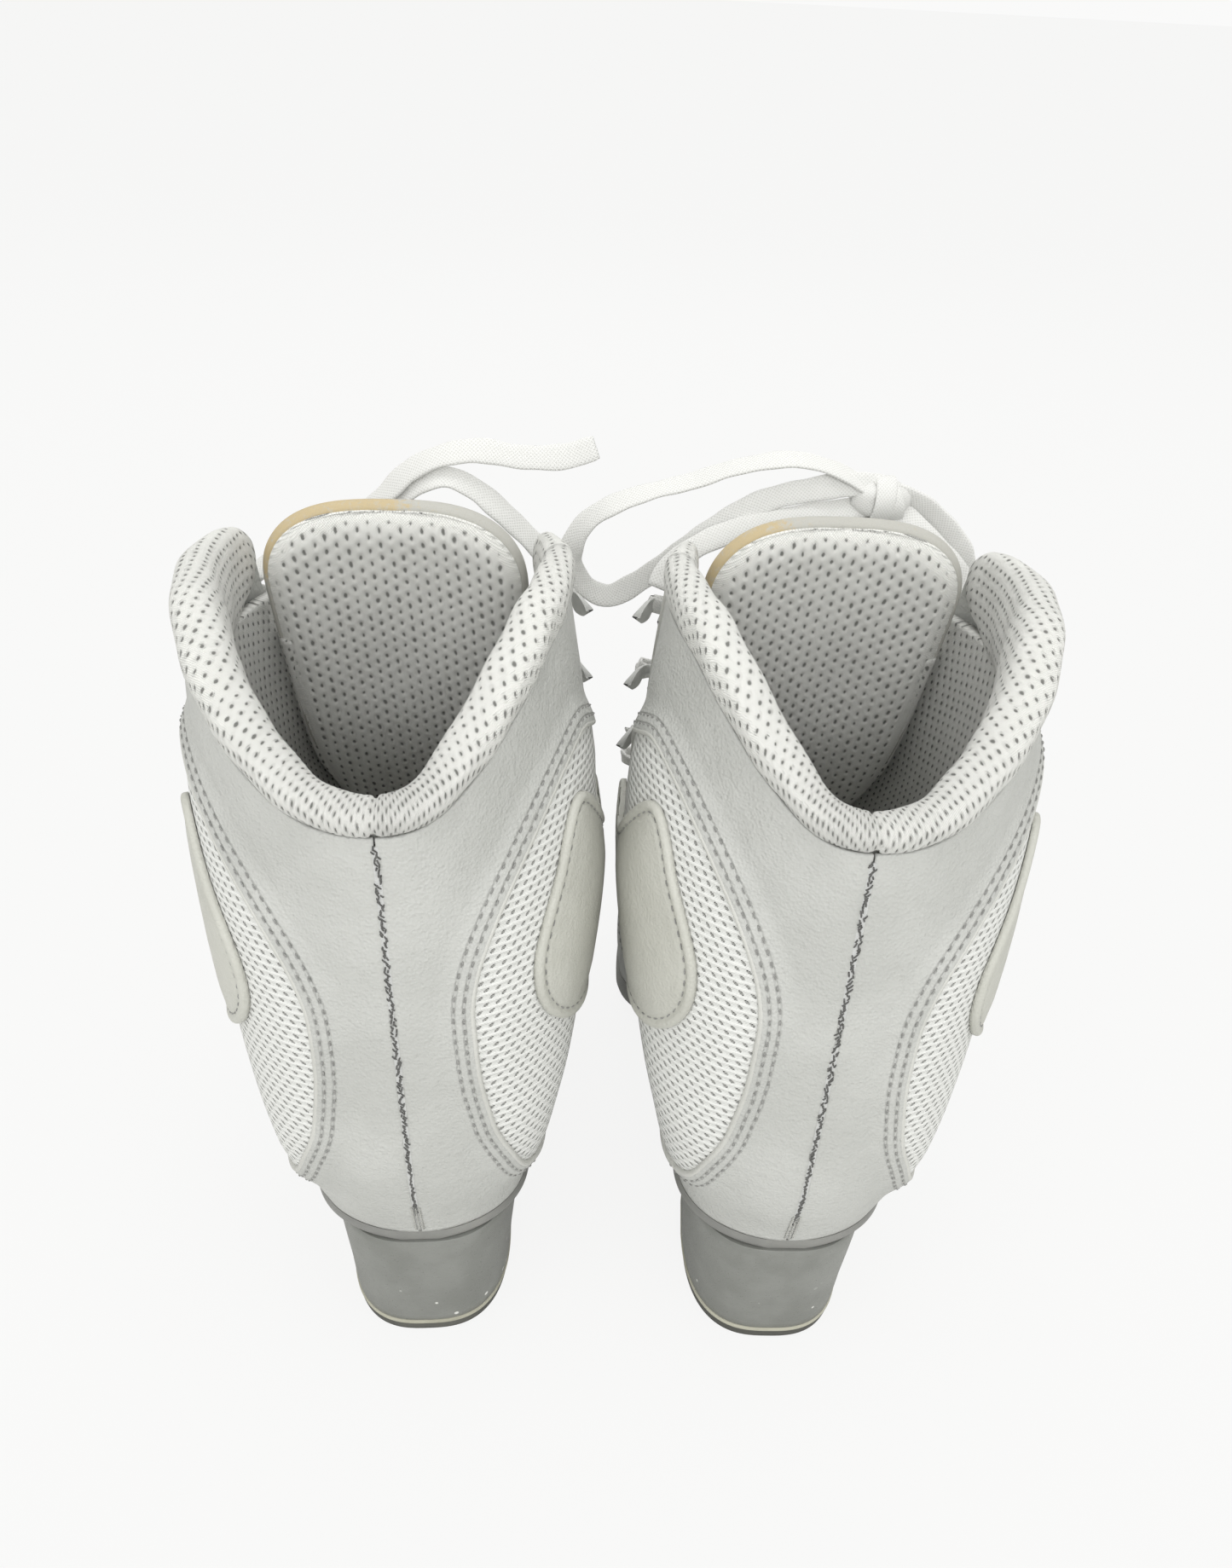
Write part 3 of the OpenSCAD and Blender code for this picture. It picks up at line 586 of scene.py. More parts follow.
WHITE_LEATHER = leather_material("white_leather", (0.53, 0.535, 0.515), (0.485, 0.49, 0.47))
PATCH_LEATHER = leather_material("patch_leather", (0.55, 0.55, 0.505), (0.50, 0.50, 0.455), 0.6)
EDGE_LEATHER = leather_material("edge_leather", (0.60, 0.60, 0.57), (0.55, 0.55, 0.52), 0.45)
KNIT = knit_material("lining_knit", (0.88, 0.88, 0.85), (0.66, 0.66, 0.63), (0.13, 0.13, 0.12))
WOVEN = woven_material("woven_panel", (0.84, 0.845, 0.825), (0.70, 0.705, 0.685), (0.24, 0.24, 0.225))
LACE = lace_material("lace_cotton", (0.76, 0.76, 0.745), (0.66, 0.66, 0.64))
HEEL_PLASTIC = plastic_material("heel_plastic", (0.195, 0.20, 0.185), (0.24, 0.245, 0.23), 0.34, True)
SOLE_PLASTIC = plastic_material("sole_plastic", (0.22, 0.22, 0.21), (0.27, 0.27, 0.255), 0.42)
LIFT_RUBBER = plastic_material("lift_rubber", (0.085, 0.085, 0.075), (0.12, 0.12, 0.105), 0.6)
CREAM = plastic_material("cream_layer", (0.50, 0.49, 0.40), (0.40, 0.39, 0.31), 0.55)
STEEL = metal_material("steel", (0.62, 0.62, 0.61), 0.32)
NICKEL = metal_material("nickel", (0.72, 0.72, 0.70), 0.25)
PAINTED = painted_material("white_metal", (0.54, 0.545, 0.53), (0.38, 0.38, 0.37))
BOARD = board_material("fibre_board", (0.50, 0.38, 0.25), (0.40, 0.30, 0.19))
# Painted shade: the thread is made dark grey so that the stitch rows read as the shade of the sunken stitches.
THREAD = thread_material("grey_thread", (0.20, 0.20, 0.19), (0.34, 0.34, 0.33))
DARK_THREAD = thread_material("dark_thread", (0.05, 0.05, 0.045), (0.15, 0.15, 0.145))
PALE_THREAD = thread_material("pale_thread", (0.50, 0.50, 0.47), (0.30, 0.30, 0.28))
SEAM_TAPE = thread_material("seam_tape", (0.50, 0.505, 0.50), (0.60, 0.605, 0.60))
BINDING = binding_material("tongue_binding", (0.47, 0.465, 0.43), (0.52, 0.42, 0.25), (0.33, 0.31, 0.26))


def finish_piece(piece, used, on="boot"):
    """Gives a piece its material and body. One called vis_NODE stands for that node."""
    piece.data.materials.clear()
    piece.data.materials.append(used)
    node = piece.name.removeprefix("vis_")
    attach(piece, f"{node.split('_')[0]}_{on}")
    if piece.name != node:
        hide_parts(node)
    return piece


# ---------------------------------------------------------------- free laces

LACE_HALF, LACE_THICK = 3.5, 0.8      # half width and half thickness
LACE_SECTION = 16


def lace_rings(points, across):
    """Rings of a flat lace with round edges, along points, with the direction of its width at each."""
    ahead = travel(points)
    across = unit(across - ahead * (across * ahead).sum(-1, keepdims=True))
    up = np.cross(across, ahead)
    angle = (np.arange(LACE_SECTION) + 0.5) * 2 * math.pi / LACE_SECTION
    x = np.sign(np.cos(angle)) * np.abs(np.cos(angle)) ** 0.7 * LACE_HALF
    y = np.sign(np.sin(angle)) * np.abs(np.sin(angle)) ** 0.6 * LACE_THICK
    rings = points[:, None] + across[:, None] * x[None, :, None] + up[:, None] * y[None, :, None]
    far = way(points)
    uv = np.stack(np.broadcast_arrays(far[:, None], (x + LACE_HALF)[None]), -1)
    return rings, uv, far[-1]


def free_lace(name, route, face, cord=True, tail=True):
    """A free flat lace on its route in the pair, whose flat side looks along face, or along faces in turn."""
    points = smooth_curve(route, 1.4)
    ahead = travel(points)
    faces = np.atleast_2d(np.array(face, float))
    part = np.linspace(0, len(faces) - 1, len(points))
    looks = picked(part, np.arange(len(faces)), faces)
    across = unit(relaxed(unit(np.cross(ahead, looks)), 6, closed=False))
    swell = 1 + 0.04 * np.sin(np.arange(len(points)) * 0.37) + 0.03 * np.sin(np.arange(len(points)) * 0.91)
    rings, uv, length = lace_rings(points, across)
    rings = points[:, None] + (rings - points[:, None]) * swell[:, None, None]
    if tail:
        rings[-1] = points[-1] + (rings[-1] - points[-1]) * 0.94
    lace = tube_mesh(name, rings * MM, uv=uv)
    finish_piece(lace, LACE)
    if cord:
        round(length * MM, 3)
    return lace


LEFT_MEDIAL_ROUTE = [
    [-13.5, -15.5, 207], [-19, -13.5, 213], [-26, -12.5, 220], [-33, -13, 227], [-40, -13, 233],
    [-48, -13, 236.5], [-56, -12, 234], [-65, -9, 226], [-74, -5, 216], [-82, 0, 203], [-88, 6, 188],
    [-91, 12, 173], [-92, 17, 157], [-91, 21, 141], [-89, 24, 126]]
LEFT_LATERAL_ROUTE = [
    [-104.5, -17, 207], [-98, -12.5, 211], [-90, -10, 214], [-82, -9, 218], [-74, -9, 223],
    [-67, -10, 229], [-59, -11, 237], [-50, -12, 242], [-39, -12, 244], [-27, -12, 242.5],
    [-15, -12, 243], [-6, -12, 246]]
RIGHT_MEDIAL_ROUTE = [
    [75, -10, 235], [63, -10, 241], [50, -10, 243.5], [35, -9, 240.5], [22, -8, 235.5], [10, -8, 232],
    [0, -8, 228], [-8, -7, 222], [-12, -6, 214], [-12, -5, 207], [-7, -4, 199.5], [0, -4, 197],
    [8, -5, 202], [19, -8, 212], [30, -10, 222.5], [44, -11, 231.5], [58, -11.5, 235.5], [69, -11, 237],
    [76, -9.8, 236.5], [81.5, -7.3, 233.5], [86, -3, 226.5], [89, 4.5, 212], [90.5, 11.5, 195], [91.5, 18, 176],
    [92, 25, 155], [91.5, 32, 134]]
RIGHT_LATERAL_ROUTE = [
    [80, -10, 235], [87, -9.5, 232.5], [94, -9, 228.5], [101, -9, 222], [106.5, -8.5, 214.5],
    [110, -5, 204], [112, 2, 191], [112, 9, 178], [110.5, 14, 168], [106.5, 17, 162.3], [101, 18.4, 159.8],
    [95.5, 18, 160.5], [90.8, 16, 164], [87.5, 12.5, 171], [86.5, 5.5, 187], [87.5, -1.5, 204],
    [88.3, -6, 216], [87, -8.3, 224], [83, -9.8, 229], [77, -10, 230.8], [71.2, -8.5, 229],
    [67.3, -5, 223.5], [65.5, 0.5, 214], [64.5, 8, 200], [63.5, 15, 181], [63, 22, 161], [62.5, 29, 142]]
RIGHT_MEDIAL_TIE = [
    [13.5, -20, 207], [17, -17, 213], [27, -15, 220], [41, -14, 225], [56, -13, 228], [66, -11.5, 229],
    [75, -10.5, 231]]
RIGHT_LATERAL_TIE = [
    [106.5, -21, 207], [104.5, -17, 211], [99, -15, 217], [92, -14, 223], [86, -12, 227.5], [80, -10.5, 231]]
KNOT = np.array([77.5, -10, 232.5])
KNOT_LONG, KNOT_ROUND = 17.6, 6.1     # the knot's length and radius


def knot_piece():
    """The bow's knot: a gathered core with two turns of lace round it."""
    a = np.linspace(0, 1, 25)
    radius = KNOT_ROUND * np.sin(math.pi * np.clip(a, 0.02, 0.98)) ** 0.42 * (
        1 - 0.2 * np.exp(-((a - 0.5) / 0.13) ** 2))
    angle = np.arange(28) * 2 * math.pi / 28
    fold = 1 + 0.07 * np.cos(5 * angle)[None] * np.sin(math.pi * a)[:, None]
    rings = np.stack(np.broadcast_arrays(
        KNOT[0] - KNOT_LONG / 2 + KNOT_LONG * a[:, None],
        KNOT[1] + radius[:, None] * fold * np.cos(angle)[None] * 0.92,
        KNOT[2] + radius[:, None] * fold * np.sin(angle)[None]), -1)
    uv = np.stack(np.broadcast_arrays(KNOT_LONG * a[:, None], 6 * angle[None]), -1)
    core = tube_mesh("vis_right_lace_knot", rings * MM, uv=uv)
    finish_piece(core, LACE)
    pieces = [core]
    turn = np.linspace(-0.35, 2 * math.pi + 0.35, 60)
    for name, lean, radius in (("right_knot_wrap", 1.1, 5.9), ("right_knot_turn", -4.2, 5.3)):
        wrap_line = np.stack([KNOT[0] + lean * np.cos(turn / 2 + math.pi / 4 * (lean < 0)),
                              KNOT[1] + radius * np.cos(turn),
                              KNOT[2] + (radius + 0.2) * np.sin(turn)], -1)
        rings, uv, _ = lace_rings(wrap_line, np.repeat([[1.0, 0.08, 0.1]], 60, 0))
        rings = wrap_line[:, None] + (rings - wrap_line[:, None]) * 0.86
        wrap = tube_mesh(name, rings * MM, uv=uv)
        finish_piece(wrap, LACE)
        pieces.append(wrap)
    return pieces


free_lace("vis_left_lace_end_medial", LEFT_MEDIAL_ROUTE, (0, -0.6, 0.8))
free_lace("vis_left_lace_end_lateral", LEFT_LATERAL_ROUTE, [(0, -0.3, 0.95), (0, -0.6, 0.8), (0, -0.94, 0.34)])
KNOT_PIECES = knot_piece()
free_lace("vis_right_lace_bow_medial", RIGHT_MEDIAL_ROUTE,
          [(0, -0.33, 0.94), (0, -0.33, 0.94), (0, -0.9, 0.44), (0, -0.94, 0.34), (0, -0.8, 0.6), (0, -0.8, 0.6)])
free_lace("vis_right_lace_bow_lateral", RIGHT_LATERAL_ROUTE, (0, 0.9, 0.4))
free_lace("right_tie_medial", RIGHT_MEDIAL_TIE, (0, -0.8, 0.6), cord=False, tail=False)
free_lace("right_tie_lateral", RIGHT_LATERAL_TIE, (0, -0.8, 0.6), cord=False, tail=False)


# ---------------------------------------------------------------- seams and outlines of a boot

MESH_REAR = table([0.09, 0.13, 0.2, 0.32, 0.45, 0.6, 0.69, 0.75, 0.795, 0.825, 0.84],
                  [0.2, 0.15, 0.128, 0.112, 0.112, 0.12, 0.145, 0.185, 0.24, 0.31, 0.39])
MESH_FRONT = table([0.09, 0.15, 0.3, 0.5, 0.62, 0.7, 0.77, 0.84], [0.28, 0.4, 0.55, 0.69, 0.69, 0.65, 0.58, 0.48])
MESH_ENDS = (0.09, 0.84)
SEAM_START, VAMP_GAP = 0.002, 0.004
LINING_TOP, LINING_PAD = -3.9, 2.6
PANEL_RISE = 2.7            # how far the leather swells beside the mesh panel
PANEL_SWELL = 10.0          # how far from the panel's edge the swelling reaches
MESH_TOP, PATCH_LOW, PATCH_TOP = 1.7, 2.5, 4.2
EYESTAY_TOP = 1.5
STITCH = (1.9, 0.5, 0.45)   # length, width and height of a stitch
STITCH_PITCH = 3.3
RNG = np.random.default_rng(7)


def outline(rear, front, low, high, rounding):
    """A closed line of (share of the way round, height) with rounded corners."""
    up = np.linspace(low, high, 60)
    there = np.stack([at(rear, up), up], -1)
    back_down = np.stack([at(front, up), up], -1)[::-1]
    scale = np.array([1.0, 1.15])      # makes both coordinates about equal lengths
    line = smooth_curve(np.concatenate([there, back_down]) * scale, 0.004, closed=True)
    return relaxed(line, rounding) / scale


def inside(t, v, line):
    """Whether points lie inside a closed line."""
    flat_t, flat_v = t.ravel(), v.ravel()
    after = np.roll(line, -1, 0)
    out = np.zeros(len(flat_t), bool)
    for (t0, v0), (t1, v1) in zip(line, after):
        if v0 == v1:
            continue
        crosses = (flat_v < max(v0, v1)) & (flat_v >= min(v0, v1))
        out ^= crosses & (flat_t < t0 + (flat_v - v0) / (v1 - v0) * (t1 - t0))
    return out.reshape(t.shape)


PANEL_LINE = outline(MESH_REAR, MESH_FRONT, *MESH_ENDS, 60)
PATCH_CORNERS = [
    (0.42, 0.365), (0.345, 0.375), (0.285, 0.41), (0.24, 0.48), (0.222, 0.56), (0.237, 0.63), (0.275, 0.68),
    (0.32, 0.72), (0.36, 0.76), (0.395, 0.78), (0.425, 0.765), (0.45, 0.72), (0.475, 0.665), (0.5, 0.62),
    (0.53, 0.6), (0.57, 0.61), (0.61, 0.63), (0.64, 0.615), (0.65, 0.57), (0.65, 0.52), (0.62, 0.45), (0.56, 0.4),
    (0.49, 0.37)]
PATCH_LINE = relaxed(smooth_curve(PATCH_CORNERS, 0.004, closed=True), 10)


def panel_distance(w, v, half):
    """Distance in millimetres to the mesh panel's edge, negative on the panel."""
    line = surface(half * PANEL_LINE[:, 0], PANEL_LINE[:, 1])
    far = nearest(surface(w, v), line)
    return np.where(inside(np.abs(w), np.broadcast_to(v, np.shape(w)), PANEL_LINE), -far, far)


def leather_rise(d):
    """Height of the leather's face at a distance from the mesh panel's edge."""
    return np.where(d > 0, PANEL_RISE * (1 - step(0, PANEL_SWELL, d)), 0.2 + (PANEL_RISE - 0.2) * step(-1.3, 0, d))


def moved(w, v, shift):
    """w and v after a small shift along the surface, in millimetres."""
    e = 0.003
    along = (surface(np.minimum(w + e, 1), v) - surface(np.maximum(w - e, -1), v)) / (2 * e)
    rise = (surface(w, np.minimum(v + e, 1)) - surface(w, np.maximum(v - e, 0))) / (2 * e)
    aa, ar, rr = (along * along).sum(-1), (along * rise).sum(-1), (rise * rise).sum(-1)
    sa, sr = (shift * along).sum(-1), (shift * rise).sum(-1)
    det = aa * rr - ar * ar
    return w + (sa * rr - sr * ar) / det, v + (sr * aa - sa * ar) / det


def beside(line, half, distance, closed=True):
    """A (w, v) line at a distance outside a (share, height) line on one half of the boot."""
    w, v = half * line[:, 0], line[:, 1]
    p = surface(w, v)
    out = unit(np.cross(travel(p, closed), outward(w, v)))
    middle = p.mean(0)
    if ((p - middle) * out).sum() < 0 and closed:
        out = -out
    w2, v2 = w, v
    for _ in range(3):
        w2, v2 = moved(w2, v2, out * distance / 3)
    return np.stack([w2, v2], -1)


def stitch_mesh(name, centres, ahead, up, size, used, side):
    """Many small stitches as one piece: rounded grains of thread along ahead, standing along up."""
    length, width, height = size
    length = np.broadcast_to(length, len(centres))
    ahead = unit(ahead)
    across = unit(np.cross(up, ahead))
    up = np.cross(ahead, across)
    corners = np.arange(6) * math.pi / 3
    stations = np.array([-0.5, -0.38, 0.0, 0.38, 0.5])
    swell = np.array([0.35, 0.85, 1.0, 0.85, 0.35])
    sink = np.array([-0.5, -0.12, 0.1, -0.12, -0.5]) * height
    x = np.broadcast_to((stations[None] * length[:, None])[..., None], (len(centres), 5, 6))
    y = swell[:, None] * np.cos(corners)[None] * width / 2
    z = swell[:, None] * np.sin(corners)[None] * height / 2 + sink[:, None]
    points = (centres[:, None, None] + ahead[:, None, None] * x[..., None]
              + across[:, None, None] * y[..., None] + up[:, None, None] * z[..., None])
    count = len(centres)
    base = (np.arange(count) * 30)[:, None, None]
    walls = (grid_faces(5, 6, wrap=True)[None] + base).reshape(-1, 4)
    first = np.array([[0, 5, 4, 3], [0, 3, 2, 1]])
    caps = np.concatenate([first, first[:, ::-1] + 24])
    caps = (caps[None] + base).reshape(-1, 4)
    faces = np.concatenate([walls, caps])
    made = make_mesh(name, placed(points.reshape(-1, 3), side), turned(faces, side))
    finish_piece(made, used)


def stitch_row(line, pitch, height, closed=False, wraps=False):
    """Centres, directions and outward directions of stitches along a (w, v) line, at a height above the face."""
    dense = surface(line[:, 0], line[:, 1])
    if closed:
        dense, line = np.concatenate([dense, dense[:1]]), np.concatenate([line, line[:1]])
    far = way(dense)
    count = max(int(far[-1] / pitch), 1)
    where = (np.arange(count) + 0.5) * far[-1] / count
    w, v = (np.interp(where, far, line[:, k]) for k in (0, 1))
    nearby = [surface(*(np.interp(np.clip(where + e, 0, far[-1]), far, line[:, k]) for k in (0, 1)))
              for e in (-0.5, 0.5)]
    out = outward(w, v, wraps)
    centres = surface(w, v) + out * height
    return centres, unit(nearby[1] - nearby[0]), out


def joined(rows):
    return tuple(np.concatenate(parts) for parts in zip(*rows))


def border_distance(uv):
    """Distance to the nearest border of a grid, from its arc lengths."""
    u, v = uv[..., 0], uv[..., 1]
    return np.minimum.reduce([u - u[:, :1], u[:, -1:] - u, v - v[:1], v[-1:] - v])


def eased_edge(distance, radius):
    """How far a rounded edge has dropped at a distance from the border."""
    return radius * (1 - np.sqrt(1 - (1 - np.clip(distance / radius, 0, 1)) ** 2))


def to_edges(low, high, count):
    """Values from low to high, closer together at both ends."""
    u = np.linspace(0, 1, count)
    return low + (high - low) * (u - 0.75 * np.sin(2 * math.pi * u) / (2 * math.pi))


def row_grid(vs, first, last, half, count, spacing=np.linspace):
    """w and v of rows across one half of the boot, from share first to share last, by increasing w."""
    rows = []
    for v in vs:
        a, b = (float(at(s, v)) if isinstance(s, tuple) else s for s in (first, last))
        rows.append(half * spacing(a, b, count)[::half])
    w = np.array(rows)
    return w, np.broadcast_to(np.asarray(vs, float)[:, None], w.shape)


def set_share(piece, name, values):
    attribute = piece.data.attributes.new(name, "FLOAT", "POINT")
    attribute.data.foreach_set("value", np.asarray(values, np.float32).ravel())


# ---------------------------------------------------------------- the sole and heel

def heel_ring(half, back, breast, z, count=64):
    """A heel's outline at one height: round back and straight front."""
    r = breast - back
    a = np.linspace(0, math.pi, count)
    c, s = np.cos(a), np.sin(a)
    arc = np.stack([half * np.sign(c) * np.abs(c) ** 0.72, back + 0.62 * r * (1 - s ** 0.8)], -1)
    # The arc runs from the outer side round the back to the inner side; the front closes it.
    front = np.array([[-half * 0.97, back + 0.85 * r], [-half * 0.93, breast - 0.6], [-half * 0.88, breast],
                      [half * 0.88, breast], [half * 0.93, breast - 0.6], [half * 0.97, back + 0.85 * r]])
    ring = np.concatenate([arc, front])
    return np.column_stack([ring, np.full(len(ring), float(z))])


HEEL_LIFT, HEEL_RAND = 3.8, 1.4
HARD_EDGE = math.radians(50)


def heel(side, prefix):
    def layer(part, rings, used):
        piece = tube_mesh(f"vis_{prefix}{part}", np.array(rings)[:, ::-1], side)
        piece.data.set_sharp_from_angle(angle=HARD_EDGE)
        finish_piece(piece, used)

    low = HEEL_LIFT + HEEL_RAND
    levels = [(24.4, 3.6, 57.4, 0), (25, 3, 58, 0.5), (25.1, 2.9, 58.1, 2.4), (25, 3, 58, HEEL_LIFT)]
    layer("heel_lift", [heel_ring(*level) for level in levels], LIFT_RUBBER)
    levels = [(25.3, 2.7, 58.3, HEEL_LIFT), (25.6, 2.4, 58.6, HEEL_LIFT + 0.25), (25.6, 2.4, 58.6, low - 0.25),
              (25.3, 2.7, 58.3, low)]
    layer("heel_rand", [heel_ring(*level) for level in levels], CREAM)
    levels = [(25.1, 2.9, 58.3, low), (25.4, 2.6, 58.6, low + 0.4), (25.6, 2.4, 58.8, 9), (25.9, 2.1, 59.1, 14),
              (26.2, 1.9, 59.5, 19), (26.7, 1.6, 60.1, 24), (27.1, 1.3, 60.8, 28), (27.6, 1, 61.5, 33)]
    rings = [heel_ring(*level) for level in levels]
    for drop, grow in ((8, 0.35), (3, 0.15), (0.5, 0.05), (0, 0.45)):       # follows the sole's underside
        ring = heel_ring(28.5 - grow, 0.3 + grow, 63 - grow, 0.0)
        ring[:, 2] = at(UNDER, ring[:, 1]) - 0.3 - drop
        rings.append(ring)
    layer("heel_block", rings, HEEL_PLASTIC)


def outsole(side, prefix):
    """The moulded sole: a rounded welt under the upper."""
    rings = []
    for w in np.linspace(0.03, 0.985, 150):
        outer, inner = surface(w, 0.0), surface(-w, 0.0)
        y, x1, x0 = outer[1], outer[0] + 0.6, inner[0] - 0.6
        top, low = float(at(BASE, y)) - 0.15, float(at(UNDER, y))
        deep = top - low
        edge = [(-1.6, 0), (-0.5, 0.12), (0.15, 0.3), (0.3, 0.55), (0.15, 0.8), (-0.35, 1)]
        rings.append([(x1 + out, y, low + share * deep) for out, share in edge]
                     + [(x0 - out, y, low + share * deep) for out, share in edge[::-1]])
    sole = tube_mesh(f"vis_{prefix}outsole", np.array(rings)[:, ::-1], side)
    sole.data.set_sharp_from_angle(angle=math.radians(60))
    finish_piece(sole, SOLE_PLASTIC)


def footbed(side, prefix):
    rings = []
    for w in np.linspace(0.11, 0.93, 70):
        outer, inner = surface(w, 0.0), surface(-w, 0.0)
        y, x1, x0 = outer[1], outer[0] - 7.6, inner[0] + 7.6
        low = float(at(BASE, y)) + 4.3
        rows = [(x0 + 0.2, low), (x0, low + 1.8), (x0 + 0.8, low + 3.4)]
        rows += [(x0 + s * (x1 - x0), low + 3.9 - 0.5 * math.sin(math.pi * s)) for s in np.linspace(0.08, 0.92, 14)]
        rows += [(x1 - 0.8, low + 3.4), (x1, low + 1.8), (x1 - 0.2, low)]
        rings.append([(x, y, z) for x, z in rows])
    rings = np.array(rings)
    uv = rings[..., :2] + 0.0
    piece = tube_mesh(f"vis_{prefix}footbed", rings, side, uv=uv)
    finish_piece(piece, KNIT)


# ---------------------------------------------------------------- the upper

def vamp(side, prefix):
    vs = np.concatenate([np.linspace(0, 0.3, 64), np.linspace(0.304, 0.338, 10)])
    rows = []
    for v in vs:
        a = min(float(at(VAMP_SEAM, v)) + VAMP_GAP - 0.02, 0.95)
        rows.append(np.linspace(a, 2 - a, 260))
    w = np.array(rows)
    v = np.broadcast_to(vs[:, None], w.shape)
    outer = lifted(w, v, -0.55 + 0.5 * step(0, 0.035, np.minimum(w - w[:, :1], w[:, -1:] - w)), wraps=True)
    crease = np.exp(-((outer[..., 1] - 176) / 9) ** 2) * np.sin(outer[..., 1] * 0.9) * 0.3 * step(0.1, 0.25, v)
    outer = outer + outward(w, v, True) * crease[..., None]
    inner = lifted(w, v, np.full(w.shape, -LEATHER), wraps=True)
    piece = sheet_mesh(f"vis_{prefix}vamp", outer, inner, side)
    piece.data.set_sharp_from_angle(angle=HARD_EDGE)
    finish_piece(piece, WHITE_LEATHER)


def quarter(half, side, prefix):
    w, v = row_grid(np.linspace(0, 1, 180), SEAM_START, VAMP_SEAM, half, 210)
    d = panel_distance(w, v, half)
    edge_v = np.linspace(0, 0.36, 160)
    edge = surface(half * at(VAMP_SEAM, edge_v), edge_v)
    front = nearest(surface(w, v), edge)
    height = leather_rise(d) + 0.7 * (1 - step(0, 7, front)) - eased_edge(front, 0.8)
    height = height + 0.12 * np.sin(w * 31 + v * 13) * np.sin(v * 23 - w * 9) * step(6, 20, d)
    outer = lifted(w, v, height)
    inner = lifted(w, v, np.full(w.shape, -LEATHER))
    piece = sheet_mesh(f"vis_{prefix}quarter_{PARTS[half]}", outer, inner, side)
    seam = np.where(d > 0, np.minimum(d, front), front)
    set_share(piece, "seam", np.concatenate([seam.ravel()] * 2))
    finish_piece(piece, WHITE_LEATHER)


def edge_bead(half, side, prefix):
    """The leather's turned edge round the mesh panel."""
    line = beside(smooth_curve(PANEL_LINE, 0.006, closed=True), half, 0.3)
    w, v = line[:, 0], line[:, 1]
    p, out = surface(w, v), outward(w, v)
    across = unit(np.cross(travel(p, True), out))
    a = np.arange(12) * math.pi / 6
    rings = (p[:, None] + out[:, None] * (1.75 + 1.1 * np.sin(a))[None, :, None]
             + across[:, None] * (0.95 * np.cos(a))[None, :, None])
    faces = grid_faces(len(rings) + 1, 12, wrap=True) % (len(rings) * 12)
    if half > 0:
        faces = faces[:, ::-1]
    piece = make_mesh(f"{prefix}panel_edge_{PARTS[half]}", placed(rings.reshape(-1, 3), side), turned(faces, side))
    finish_piece(piece, EDGE_LEATHER)


def ring_lengths(half):
    """Arc length from the back seam, in millimetres, on a grid of heights and shares of the way round."""
    heights, shares = np.linspace(0, 1, 60), np.linspace(0, 1, 400)
    points = surface(half * shares[None], heights[:, None])
    far = np.cumsum(np.linalg.norm(np.diff(points, axis=1), axis=-1), 1)
    return heights, shares, np.concatenate([np.zeros((60, 1)), far], 1)


def level_uv(w, v, half):
    """Cloth coordinates with level rows: the way round the boot, and height."""
    heights, shares, far = ring_lengths(half)
    i = np.clip(v * 59, 0, 58.999)
    j = np.clip(np.abs(w) * 399, 0, 398.999)
    i0, j0 = i.astype(int), j.astype(int)
    fi, fj = i - i0, j - j0
    u = ((far[i0, j0] * (1 - fj) + far[i0, j0 + 1] * fj) * (1 - fi)
         + (far[i0 + 1, j0] * (1 - fj) + far[i0 + 1, j0 + 1] * fj) * fi)
    z, lean = surface(w, v)[..., 2] * 1.04, math.radians(6)
    return np.stack([u * math.cos(lean) - z * math.sin(lean), z * math.cos(lean) + u * math.sin(lean)], -1)


def mesh_panel(half, side, prefix):
    vs = np.linspace(MESH_ENDS[0] - 0.006, MESH_ENDS[1] + 0.006, 300)
    w, v = row_grid(vs, MESH_REAR, MESH_FRONT, half, 120)
    uv = level_uv(w, v, half)
    d = -panel_distance(w, v, half)
    puff = 0.65 * step(0, 9, d) - 0.5 * (1 - step(-0.8, 1.6, d))
    height = MESH_TOP + puff
    outer = lifted(w, v, height)
    inner = lifted(w, v, height - 0.7)
    piece = sheet_mesh(f"vis_{prefix}mesh_panel_{PARTS[half]}", outer, inner, side, uv)
    finish_piece(piece, WOVEN)


